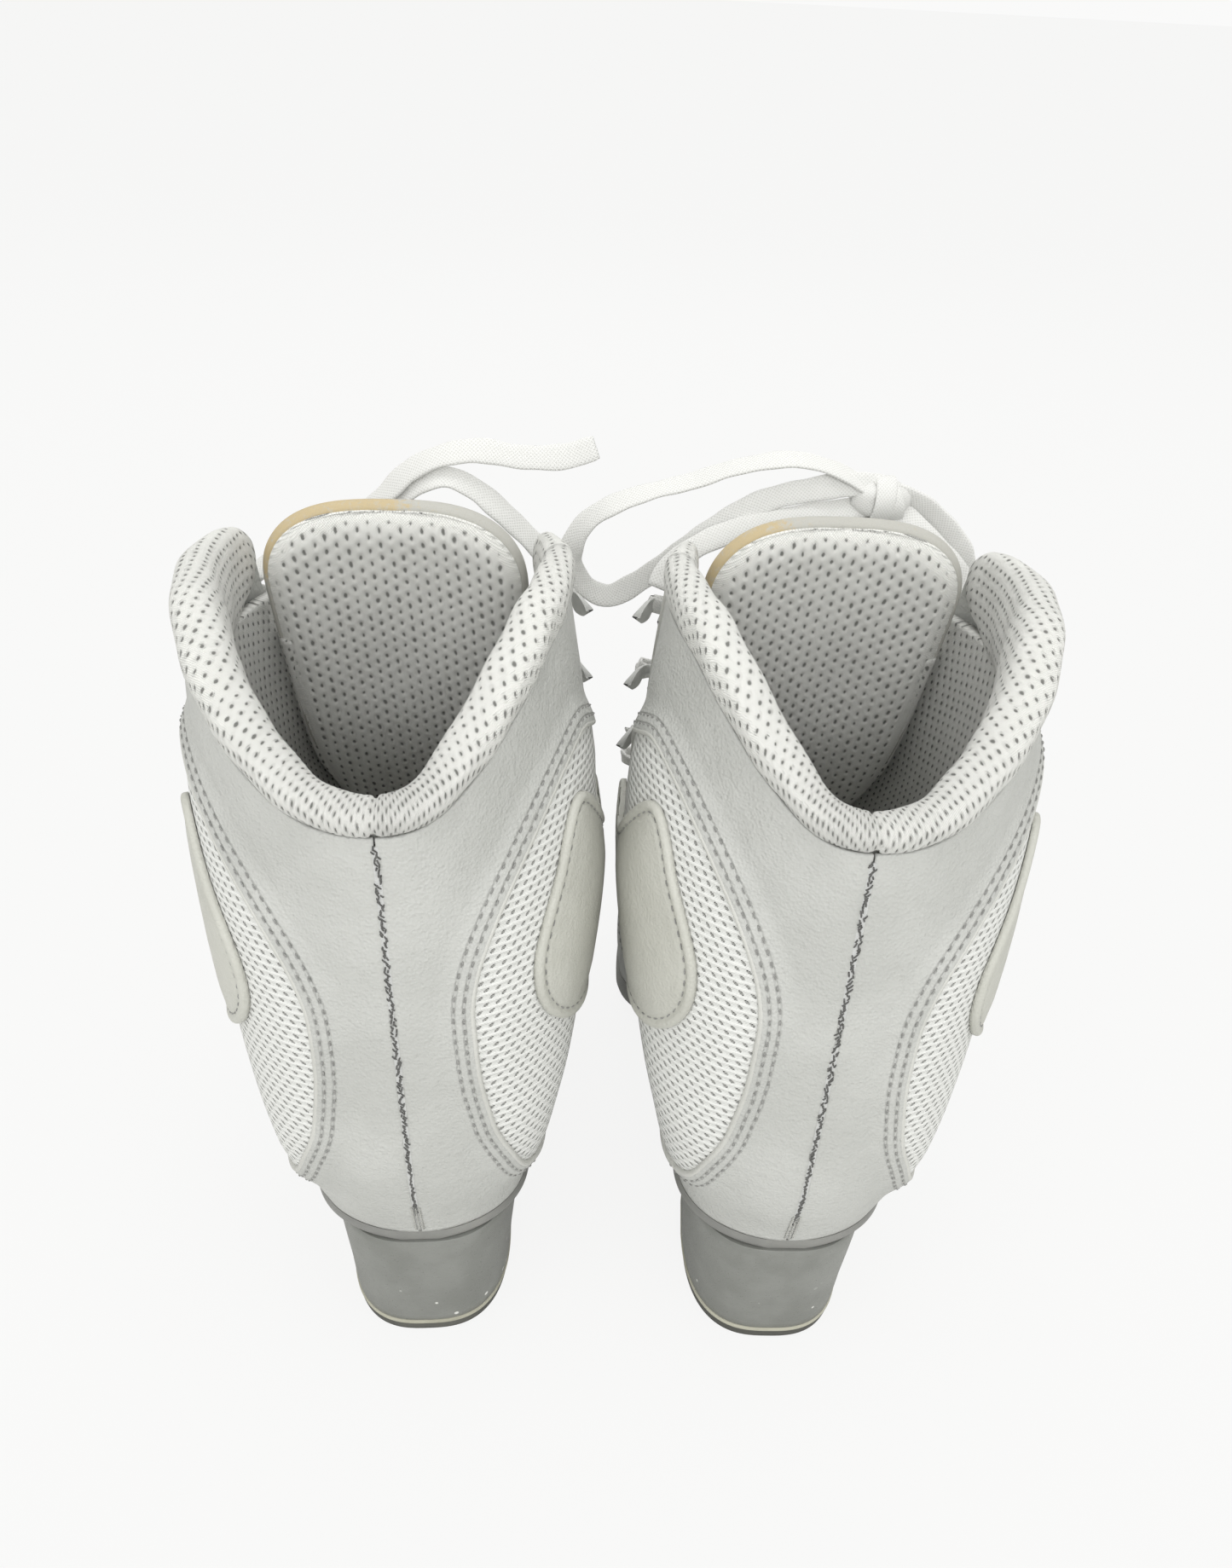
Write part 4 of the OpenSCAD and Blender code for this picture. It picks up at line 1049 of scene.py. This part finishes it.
def ankle_patch(half, side, prefix):
    line = smooth_curve(PATCH_LINE, 0.0045, closed=True)
    middle = np.array([0.44, 0.56])
    shares = np.r_[0.97, 1.0, 1.0, 1.0, 1 - np.array([
        0.004, 0.012, 0.02, 0.03, 0.042, 0.056, 0.072, 0.09, 0.11, 0.135,
        0.165, 0.2, 0.25, 0.32, 0.4, 0.5, 0.6, 0.7, 0.8, 0.9, 0.97])]
    rings = middle + (line[None] - middle) * shares[:, None, None]
    w, v = half * rings[..., 0], rings[..., 1]
    border = surface(half * line[:, 0], line[:, 1])
    d = nearest(surface(w, v), border)
    top = (PATCH_TOP + 0.15 - eased_edge(d, 0.9) + 0.35 * np.exp(-((d - 1.5) / 0.9) ** 2)
           - 0.55 * np.exp(-((d - 3.0) / 0.6) ** 2) + 0.5 * step(4, 12, d))
    top[0], top[1], top[2], top[3] = PATCH_LOW, PATCH_LOW + 0.1, PATCH_LOW + 0.9, PATCH_TOP - 0.75
    points = lifted(w, v, top)
    if half < 0:
        points = points[:, ::-1]
    piece = tube_mesh(f"vis_{prefix}ankle_patch_{PARTS[half]}", points, side)
    finish_piece(piece, PATCH_LEATHER)
    row = beside(line, half, -3.0)
    centres, ahead, out = stitch_row(row, STITCH_PITCH, PATCH_TOP - 0.15, closed=True)
    stitch_mesh(f"{prefix}patch_stitches_{PARTS[half]}", centres, ahead, out, STITCH, THREAD, side)


def eyestay(half, side, prefix):
    w, v = row_grid(to_edges(0.375, 0.99, 150), 0.74, 0.995, half, 44, to_edges)
    uv = cloth_uv(surface(w, v))
    d = panel_distance(w, v, half)
    under = np.maximum(leather_rise(d), 0)
    border = border_distance(uv)
    height = under + EYESTAY_TOP - eased_edge(border, 0.9) - 0.3 * np.exp(-((border - 2.3) / 0.6) ** 2)
    outer = lifted(w, v, height)
    inner = lifted(w, v, np.full(w.shape, 0.05))
    piece = sheet_mesh(f"vis_{prefix}eyestay_{PARTS[half]}", outer, inner, side, uv)
    finish_piece(piece, EDGE_LEATHER)
    for name, share in (("rear", 0.76), ("front", 0.92)):
        vs = np.linspace(0.395, 0.97, 120)
        ws = np.full(120, half * share)
        raised = np.maximum(leather_rise(panel_distance(ws, vs, half)), 0)
        centres, ahead, out = stitch_row(np.stack([ws, vs], -1), 2.8, EYESTAY_TOP - 0.15)
        rise = np.interp(np.linspace(0, 1, len(centres)), np.linspace(0, 1, 120), raised)
        centres = centres + out * rise[:, None]
        stitch_mesh(f"{prefix}eyestay_stitches_{name}_{PARTS[half]}", centres, ahead, out, (1.6, 0.55, 0.45),
                    THREAD, side)


def panel_stitches(half, side, prefix):
    rows = []
    for distance in SEAM_ROWS:
        line = beside(PANEL_LINE, half, distance)
        keep = (line[:, 1] > 0.03) & (line[:, 1] < 0.985) & (np.abs(line[:, 0]) < 0.735)
        start = int(np.argmin(keep))
        line, keep = np.roll(line, -start, 0), np.roll(keep, -start)
        breaks = np.flatnonzero(np.diff(keep.astype(int))) + 1
        for run, kept in zip(np.split(line, breaks), np.split(keep, breaks)):
            if kept[0] and len(run) > 8:
                rows.append(stitch_row(run, STITCH_PITCH, float(leather_rise(np.array(distance))) + 0.1))
    edge_v = np.linspace(0.01, 0.33, 140)
    ws = half * at(VAMP_SEAM, edge_v)
    p = surface(ws, edge_v)
    across = unit(np.cross(travel(p), outward(ws, edge_v)))
    towards = surface(ws - half * 0.05, edge_v) - p
    across = across * np.sign((across * towards).sum(-1, keepdims=True))
    for distance in SEAM_ROWS:
        w2, v2 = ws, edge_v
        for _ in range(2):
            w2, v2 = moved(w2, v2, across * distance / 2)
        keep = (v2 > 0.005) & (np.abs(w2) < 0.99) & (np.abs(w2 - ws) < 0.1) & (np.abs(v2 - edge_v) < 0.06)
        rows.append(stitch_row(np.stack([w2, v2], -1)[keep], STITCH_PITCH,
                               float(0.7 * (1 - step(0, 7, distance))) + 0.12))
    centres, ahead, out = joined(rows)
    stitch_mesh(f"{prefix}panel_stitches_{PARTS[half]}", centres, ahead, out, STITCH, THREAD, side)


def back_seam(side, prefix):
    """The seam up the back: a narrow dark cord of slanting stitches, with a wide pale tack at the sole."""
    vs = np.linspace(0.012, 0.985, 220)
    half_width = 0.8
    p = surface(np.zeros(220), vs)
    out = unit(outward(np.full(220, 0.02), vs) + outward(np.full(220, -0.02), vs))
    ahead = travel(p)
    across = unit(np.cross(ahead, out))
    a = np.linspace(0, math.pi, 9)
    ring = [(-half_width - 0.1, -0.6)] + [(-half_width * math.cos(x), 0.02 + 0.1 * math.sin(x)) for x in a]
    ring += [(half_width + 0.1, -0.6)]
    ring = np.array(ring)
    rings = p[:, None] + across[:, None] * ring[None, :, :1] + out[:, None] * ring[None, :, 1:]
    piece = tube_mesh(f"vis_{prefix}back_seam", rings, side)
    finish_piece(piece, SEAM_TAPE)
    far = way(p)

    def spread(first, last, pitch):
        where = np.arange(first, last, pitch)
        return [picked(where, far, p)] + [unit(picked(where, far, values)) for values in (ahead, out, across)]

    c, f, o, s = spread(9, far[-1], 0.62)
    wide = np.interp(c[:, 2], [50, 80, 120, 200], [0.2, 0.3, 0.65, 0.7])
    aside = RNG.uniform(-1, 1, len(c)) * wide
    turn = np.where(RNG.uniform(0, 1, len(c)) < 0.6, 1.0, -0.35) * RNG.uniform(0.35, 0.95, len(c))
    stitch_mesh(f"{prefix}back_stitches", c + o * 0.22 + s * aside[:, None],
                f * np.cos(turn)[:, None] + s * np.sin(turn)[:, None], o,
                (RNG.uniform(1.1, 1.9, len(c)), 0.5, 0.55), DARK_THREAD, side)
    c, f, o, s = spread(0.8, 13, 1.35)
    for shift in (-1.0, 0.0, 1.0):
        lean = RNG.uniform(0.1, 0.45, len(c))[:, None]
        stitch_mesh(f"{prefix}heel_tack_{int(shift) + 1}", c + o * 0.28 + s * shift,
                    f * np.cos(lean) + s * np.sin(lean), o, (1.75, 0.6, 0.55), PALE_THREAD, side)


def collar_section(t):
    """Section of the padded collar, outwards and upwards from the leather's top edge."""
    thick = 13 - 5.5 * step(0.35, 0.9, t)
    up = 7 + 5 * step(0.1, 0.45, t) - 6 * step(0.6, 0.97, t)
    down = 17 - 9 * step(0.6, 0.97, t)
    edge = LEATHER + 0.5
    return [[-0.1, 0.4], [1.3, up * 0.4], [0.5, up * 0.85], [-thick * 0.38, up], [-thick * 0.78, up * 0.8],
            [-thick, up * 0.15], [-thick - 0.4, -down * 0.5], [-thick * 0.8, -down], [-edge, -down], [-edge, 0.4]]


def hole_depth(across, along):
    """Depth share of the knit's holes, as in its material."""
    column = np.round(across / HOLE_ACROSS)
    du = across - column * HOLE_ACROSS
    shifted = along - np.mod(column, 2) * HOLE_ALONG / 2
    dv = shifted - np.round(shifted / HOLE_ALONG) * HOLE_ALONG
    return 1 - step(0.3, 2.0, np.sqrt((du / HOLE_HALF[0]) ** 2 + (dv / HOLE_HALF[1]) ** 2))


def grid_normals(points, wrap=False):
    """Directions across a grid of points, from its rows and columns."""
    along = np.roll(points, -1, 1) - np.roll(points, 1, 1) if wrap else np.gradient(points, axis=1)
    return unit(np.cross(along, np.gradient(points, axis=0)))


def collar(side, prefix):
    dense = np.linspace(-0.965, 0.965, 900)
    rim = surface(dense, np.ones(900))
    far = way(rim)
    count = 470
    where = np.linspace(0, far[-1], count)
    w = np.interp(where, far, dense)
    middle = np.interp(0, dense, far)
    p = surface(w, np.ones(count))
    d = travel(p)
    out = unit(np.stack([d[:, 1], -d[:, 0], np.zeros(count)], -1))
    rings, sections = [], 112
    for i in range(count):
        loop = smooth_curve(collar_section(abs(w[i])), 0.8, closed=True)
        loop = np.concatenate([loop, loop[:1]])
        far_loop = way(loop)
        loop = picked(np.arange(sections) / sections * far_loop[-1], far_loop, loop)
        end = min(where[i], far[-1] - where[i])
        shrink = math.sqrt(max(1 - (1 - min(end / 8.0, 1)) ** 2, 0.012))
        slim = 0.62 + 0.38 * float(step(0, 34, end))
        centre = loop.mean(0) * np.array([0.5, 1.0])
        loop = centre + (loop - centre) * np.array([shrink ** 0.8 * slim, shrink])
        rings.append(p[i] + out[i] * loop[:, :1] + np.array([0, 0, 1.0]) * loop[:, 1:])
    rings = np.array(rings)
    normal = grid_normals(rings, wrap=True)
    if ((rings - rings.mean(1, keepdims=True)) * normal).sum() < 0:
        normal = -normal
    loop_far = np.concatenate([np.zeros((count, 1)), np.cumsum(np.linalg.norm(np.diff(rings, axis=1), axis=-1), 1)], 1)
    across = np.broadcast_to((where - middle)[:, None], loop_far.shape)
    uv = p[:, None, :2] + out[:, None, :2] * (60 - loop_far)[..., None]
    soft = (0.35 * np.sin(across * 0.11 + 1.3) * np.sin(loop_far * 0.17)
            + 0.18 * np.sin(across * 0.31 + loop_far * 0.23))
    ends = np.minimum(where, far[-1] - where)[:, None]
    crease = 0.9 * np.exp(-(across / 0.9) ** 2)
    inward = 0.3 * hole_depth(uv[..., 0], uv[..., 1]) * step(2, 8, ends) + crease - soft
    rings = rings - normal * inward[..., None]
    piece = tube_mesh(f"vis_{prefix}collar_pad", rings, side, uv)
    finish_piece(piece, KNIT)


def lining(side, prefix):
    vs = np.linspace(0.05, 0.92, 130)
    w = np.broadcast_to(np.linspace(-0.935, 0.935, 300)[None], (130, 300))
    v = np.broadcast_to(vs[:, None], w.shape)
    uv = cloth_uv(surface(w, v))
    uv[..., 0] = uv[..., 0] - uv[:, 150:151, 0]
    pad = LINING_PAD + 0.35 * np.sin(w * 19) * np.sin(v * 14) + 0.5
    inner = lifted(w, v, LINING_TOP - pad)
    outer = lifted(w, v, np.full(w.shape, LINING_TOP))
    piece = sheet_mesh(f"vis_{prefix}lining", outer, inner, side, uv)
    finish_piece(piece, KNIT)


# ---------------------------------------------------------------- the tongue

def tongue_grid(rows, top_rows, columns):
    """Points of the tongue's front face, its cloth coordinates and its directions across."""
    b = list(np.linspace(0, TONGUE_ROUND, rows))
    narrow = [1.0] * rows
    for turn in np.linspace(90 / top_rows, 87, top_rows):
        b.append(TONGUE_ROUND + (1 - TONGUE_ROUND) * math.sin(math.radians(turn)))
        narrow.append(math.cos(math.radians(turn)) ** 0.58)
    b, narrow = np.array(b)[:, None], np.array(narrow)[:, None]
    a = to_edges(1, -1, columns)[None]
    half = TONGUE_HALF * at(TONGUE_SHARE, b) * narrow
    z = at(TONGUE_Z, b)
    points = np.stack(np.broadcast_arrays(
        a * half + SHAFT_LEAN * (z - SOLE_BACK_Z), at(TONGUE_Y, b) - 5 * (a * half / TONGUE_HALF) ** 2, z), -1)
    full = TONGUE_HALF * at(TONGUE_SHARE, b)
    wide = np.stack(np.broadcast_arrays(
        a * full + SHAFT_LEAN * (z - SOLE_BACK_Z), at(TONGUE_Y, b) - 5 * (a * full / TONGUE_HALF) ** 2, z), -1)
    spine = np.concatenate([at(TONGUE_Y, b), z], -1)
    rise = way(spine)
    uv = np.stack(np.broadcast_arrays(a * half, rise[:, None]), -1)
    return points, uv, grid_normals(wide)


def tongue(side, prefix):
    points, uv, normal = tongue_grid(200, 46, 120)
    border = np.concatenate([points[:, 0], points[-1], points[::-1, -1]])
    d = nearest(points, smooth_curve(border, 1.0))
    shell_out = points - normal * eased_edge(d, 0.8)[..., None]
    shell = sheet_mesh(f"vis_{prefix}tongue_shell", shell_out, points - normal * 1.5, side, uv)
    finish_piece(shell, WHITE_LEATHER, "tongue")
    thick = 6.5 * (0.22 + 0.78 * np.sqrt(1 - (1 - np.clip(d / 8.5, 0, 1)) ** 2))
    thick = thick + 0.3 * np.sin(uv[..., 0] * 0.14) * np.sin(uv[..., 1] * 0.09) * step(2, 12, d)
    thick = thick - 0.3 * hole_depth(uv[..., 0], uv[..., 1]) * step(1.8, 4, d)
    face, back = points - normal * (1.8 + thick)[..., None], points - normal * 1.8
    pad = sheet_mesh(f"vis_{prefix}tongue_pad", back, face, side, uv)
    set_share(pad, "plain", np.concatenate([1 - step(1.4, 2.4, d).ravel()] * 2))
    finish_piece(pad, KNIT, "tongue")
    # Edge tape round the tongue, from its root up and over the top.
    start = 40
    line = np.concatenate([points[start:, 0], points[-1, 1:-1], points[::-1][:-start, -1]])
    outwards = np.concatenate([normal[start:, 0], normal[-1, 1:-1], normal[::-1][:-start, -1]])
    both = smooth_curve(np.concatenate([line, outwards], -1)[::3], 1.3)
    line, outwards = relaxed(both[:, :3], 10, closed=False), unit(both[:, 3:])
    ahead = travel(line)
    across = unit(np.cross(ahead, outwards))
    a = np.arange(14) * 2 * math.pi / 14
    rings = (line[:, None] + outwards[:, None] * (-1.75 + 2.35 * np.sin(a))[None, :, None]
             + across[:, None] * (1.25 * np.cos(a))[None, :, None])
    tape = tube_mesh(f"{prefix}tongue_binding", rings, side)
    share = side * (line[:, 0] - SHAFT_LEAN * (line[:, 2] - SOLE_BACK_Z)) / TONGUE_HALF
    limit = 0.15 if side < 0 else -0.45
    aged = (1 - step(limit - 0.3, limit + 0.3, share)) * step(205, 222, line[:, 2])
    set_share(tape, "aged", np.concatenate([np.repeat(aged, 14), aged[[0, -1]]]))
    finish_piece(tape, BINDING, "tongue")


def gusset(half, side, prefix):
    """A fold of knit between the lining's front edge and the tongue."""
    rows, columns = 90, 34
    share = np.linspace(0.12, 0.76, rows)
    tongue_z = at(TONGUE_Z, share)
    reach = TONGUE_HALF * at(TONGUE_SHARE, share) * half
    inner_edge = np.stack([reach * (0.93 - 0.1 * step(0.55, 0.8, share)) + SHAFT_LEAN * (tongue_z - SOLE_BACK_Z),
                           at(TONGUE_Y, share) - 5 * (reach / TONGUE_HALF) ** 2 - 3.4, tongue_z - 1.6], -1)
    v = np.clip((tongue_z - 32) / 187, 0.34, 0.93)
    outer_edge = lifted(np.full(rows, half * 0.935), v, np.full(rows, LINING_TOP - 1.2))
    outer_edge = outer_edge + (inner_edge - outer_edge) * np.array([0, 0, 1.0])
    u = np.linspace(0, 1, columns)[None, :, None]
    belly = np.stack([np.zeros(rows), -5.5 - 1.5 * np.sin(share * 9), np.zeros(rows)], -1)
    points = outer_edge[:, None] * (1 - u) + inner_edge[:, None] * u + belly[:, None] * np.sin(math.pi * u ** 0.8)
    uv = cloth_uv(points)
    normal = grid_normals(points)
    piece = sheet_mesh(f"{prefix}gusset_{PARTS[half]}", points + normal * 0.6, points - normal * 0.6, side, uv)
    piece.data.materials.clear()
    piece.data.materials.append(KNIT)
    start, end = (placed(edge.mean(0), side) for edge in (outer_edge, inner_edge))
    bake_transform(piece)


# ---------------------------------------------------------------- eyelets, hooks and the threaded lace

def face_frame(v, t, half):
    w, v = np.array([half * t]), np.array([v])
    out = outward(w, v)[0]
    up = surface(w, v + 0.01)[0] - surface(w, v - 0.01)[0]
    up = unit(up - out * (up @ out))
    return surface(w, v)[0], out, up, np.cross(up, out)


# Outline of an eyelet's flange, as (radius, height).
EYELET_PROFILE = [(2.2, -0.6), (2.2, 0.5), (2.5, 0.85), (3.0, 0.95), (3.5, 0.75), (3.8, 0.2), (3.8, -0.2)]
EYELET_CORNERS, HOOK_CORNERS = 28, 14
# Each hook is one bent strip: a base plate, a neck towards the tongue, and a leaf folded back over it.
HOOK_PATH = smooth_curve([[-3.8, 0.45], [-1, 0.45], [1.8, 0.5], [3.8, 1.2], [4.6, 2.9], [4.1, 4.6], [2.4, 5.7],
                          [0.2, 6.4], [-2.4, 7.1], [-5.2, 7.9]], 0.45)
HOOK_HALF = 0.75            # half thickness of the strip


def rounded_end(share):
    """How wide a round end is, as a share of the full width, on the way into it."""
    return np.sqrt(np.clip(1 - (1 - np.clip(share, 0, 1)) ** 2, 0.02, 1))


def eyelet(v, half):
    p, out, up, across = face_frame(v, FITTING_T, half)
    turns = np.arange(EYELET_CORNERS) * 2 * math.pi / EYELET_CORNERS
    rings = [[p + out * (EYESTAY_TOP + 0.1 + z) + (across * math.cos(a) + up * math.sin(a)) * r for a in turns]
             for r, z in EYELET_PROFILE]
    return np.array(rings), False


def hook(v, half):
    far = np.linspace(0, 1, len(HOOK_PATH))
    widths = np.interp(far, [0, 0.2, 0.3, 0.4, 0.55, 0.75, 1.0], [3.6, 3.6, 3.0, 2.0, 2.0, 4.1, 4.3])
    widths = widths * rounded_end(far / 0.13) * rounded_end((1 - far) / 0.36)
    dish = np.interp(far, [0, 0.45, 0.7, 1.0], [0, 0, 1.5, 1.8])
    ahead = travel(HOOK_PATH)
    section = [(math.cos(a), math.sin(a)) for a in np.arange(HOOK_CORNERS) * 2 * math.pi / HOOK_CORNERS]
    p, out, up, across = face_frame(v, FITTING_T, half)
    forward = surface(np.array([half * (FITTING_T + 0.02)]), np.array([v]))[0] - p
    across = across * np.sign(across @ forward)
    rings = [[p + out * (EYESTAY_TOP + z + nz * HOOK_HALF * s - bent * c * c) + across * (x + nx * HOOK_HALF * s)
              + up * width * math.copysign(abs(c) ** 0.8, c) for c, s in section]
             for (x, z), nx, nz, width, bent in zip(HOOK_PATH, -ahead[:, 1], ahead[:, 0], widths, dish)]
    return np.array(rings), np.dot(np.cross(across, out), up) > 0


def fittings(side, prefix):
    """The eyelets as one piece and the hooks as another."""
    for part, levels, shape, used in (("eyelets", EYELET_V, eyelet, NICKEL), ("hooks", HOOK_V, hook, PAINTED)):
        points, faces, total = [], [], 0
        for half in (-1, 1):
            for v in levels:
                rings, inside_out = shape(v, half)
                made = grid_faces(*rings.shape[:2], wrap=True, start=total)
                points.append(rings.reshape(-1, 3))
                faces.append(made[:, ::-1] if inside_out else made)
                total += len(points[-1])
        piece = make_mesh(f"vis_{prefix}{part}", placed(np.concatenate(points), side),
                          turned(np.concatenate(faces), side))
        finish_piece(piece, used)


def above(v, t, half, lift):
    w, v = np.array([half * t]), np.array([v])
    return (surface(w, v) + outward(w, v) * lift)[0]


def threaded_lace(side, prefix):
    levels = EYELET_V + HOOK_V
    for first in (1, -1):
        line = []
        for i, v in enumerate(levels):
            half = first if i % 2 == 0 else -first
            apart = np.array([0, 1.1, 0])
            if i < len(EYELET_V):       # down into the eyelet, drawn together
                shift = np.array([0, 1.3 * first + 2.4, 0])
                edge, stop, width = above(v, EDGE_T, half, 4.6) + shift, above(v, FITTING_T, half, 1.6), 0.6
            else:                       # round the hook's neck
                shift = np.array([0, 1.3 * first + 1.2, 0])
                edge, stop, width = above(v, EDGE_T, half, 2.4) + shift, above(v, 0.93, half, 2.8), 0.62
            _, _, up, _ = face_frame(v, FITTING_T, half)
            line += [np.concatenate([point, up, [share]]) for point, share in (
                (edge - apart, 0.97), (stop - apart, width), (stop + apart, width), (edge + apart, 0.97))]
        route = smooth_curve(line[2:-2], 1.5)
        rings, uv, _ = lace_rings(route[:, :3], unit(route[:, 3:6]))
        rings = route[:, None, :3] + (rings - route[:, None, :3]) * np.clip(route[:, None, 6:], 0.55, 1)
        lace = tube_mesh(f"vis_{prefix}lace" if first > 0 else f"{prefix}lace_second", rings, side, uv)
        finish_piece(lace, LACE)


# ---------------------------------------------------------------- both boots

INNER_NODES = {"heel_screws": STEEL, "shank": STEEL, "insole_board": BOARD, "heel_counter": BOARD, "toe_puff": BOARD}


def boot(side, prefix):
    for make in (heel, outsole, footbed, vamp):
        make(side, prefix)
    for half in (1, -1):
        for make in (quarter, edge_bead, mesh_panel, ankle_patch, eyestay, panel_stitches):
            make(half, side, prefix)
    for make in (back_seam, collar, lining, tongue):
        make(side, prefix)
    for half in (1, -1):
        gusset(half, side, prefix)
    fittings(side, prefix)
    threaded_lace(side, prefix)
    for part, used in INNER_NODES.items():
        node = bpy.data.objects[prefix + part]
        node.data.materials.clear()
        node.data.materials.append(used)


for name, side in SIDES.items():
    boot(side, f"{name}_")

# ---------------------------------------------------------------- floor, light and end

PALE_BACK = (0.955, 0.955, 0.95)     # the floor and the backdrop, as the camera sees them
SKY = (0.74, 0.74, 0.715)            # colour and brightness of the light from all round


def seen_share(tree, share):
    """That share for what the camera sees directly, and none for the light that bounces."""
    direct = add(tree, "ShaderNodeLightPath").outputs["Is Camera Ray"]
    return Value(tree, direct) * share


def floor():
    """A pale floor that glows a little to the camera, as a lit table does, so that shadows stay faint."""
    corners = np.array([[-30, -30, 0], [30, -30, 0], [30, 60, 0], [-30, 60, 0]])
    sheet = make_mesh("floor", corners, np.array([[0, 1, 2, 3]]), smooth=False)
    made, shader, _ = material("pale_floor", (0.72, 0.72, 0.71), 0.9, Specular_IOR_Level=0.0)
    tree = made.node_tree
    glow = add(tree, "ShaderNodeEmission", {"Color": (*PALE_BACK, 1), "Strength": 1.0}).outputs[0]
    output = next(n for n in tree.nodes if n.type == "OUTPUT_MATERIAL")
    mixed = add(tree, "ShaderNodeMixShader", {0: seen_share(tree, 0.92), 1: shader.outputs[0], 2: glow})
    tree.links.new(mixed.outputs[0], output.inputs["Surface"])
    sheet.data.materials.append(made)


def area_light(name, where, aim, size, power):
    data = bpy.data.lights.new(name, "AREA")
    data.shape = "RECTANGLE"
    data.size, data.size_y = size
    data.energy = power
    light = bpy.data.objects.new(name, data)
    bpy.context.scene.collection.objects.link(light)
    light.location = where
    light.rotation_mode = "QUATERNION"
    light.rotation_quaternion = (Vector(aim) - Vector(where)).to_track_quat("-Z", "Y")


def studio():
    world = bpy.data.worlds.new("studio")
    world.use_nodes = True
    tree = world.node_tree
    sky = next(n for n in tree.nodes if n.type == "BACKGROUND")
    connect(sky, Color=blended(seen_share(tree, 1.0), SKY, PALE_BACK))
    bpy.context.scene.world = world
    area_light("key", (-1.0, -0.9, 1.0), (0, 0, 0.12), (0.7, 0.7), 2.8)
    area_light("fill", (1.1, -0.8, 0.9), (0, 0, 0.12), (0.8, 0.8), 2.0)
    area_light("camera_side", (0, -1.25, 0.8), (0, 0, 0.2), (0.8, 0.4), 5.6)
    area_light("overhead", (0, -0.15, 1.5), (0, 0, 0.2), (0.6, 0.6), 5.0)
    area_light("behind", (0.1, 1.2, 1.1), (0, 0, 0.15), (1.2, 0.7), 4.6)
    bpy.context.scene.view_settings.view_transform = "Standard"


floor()
studio()
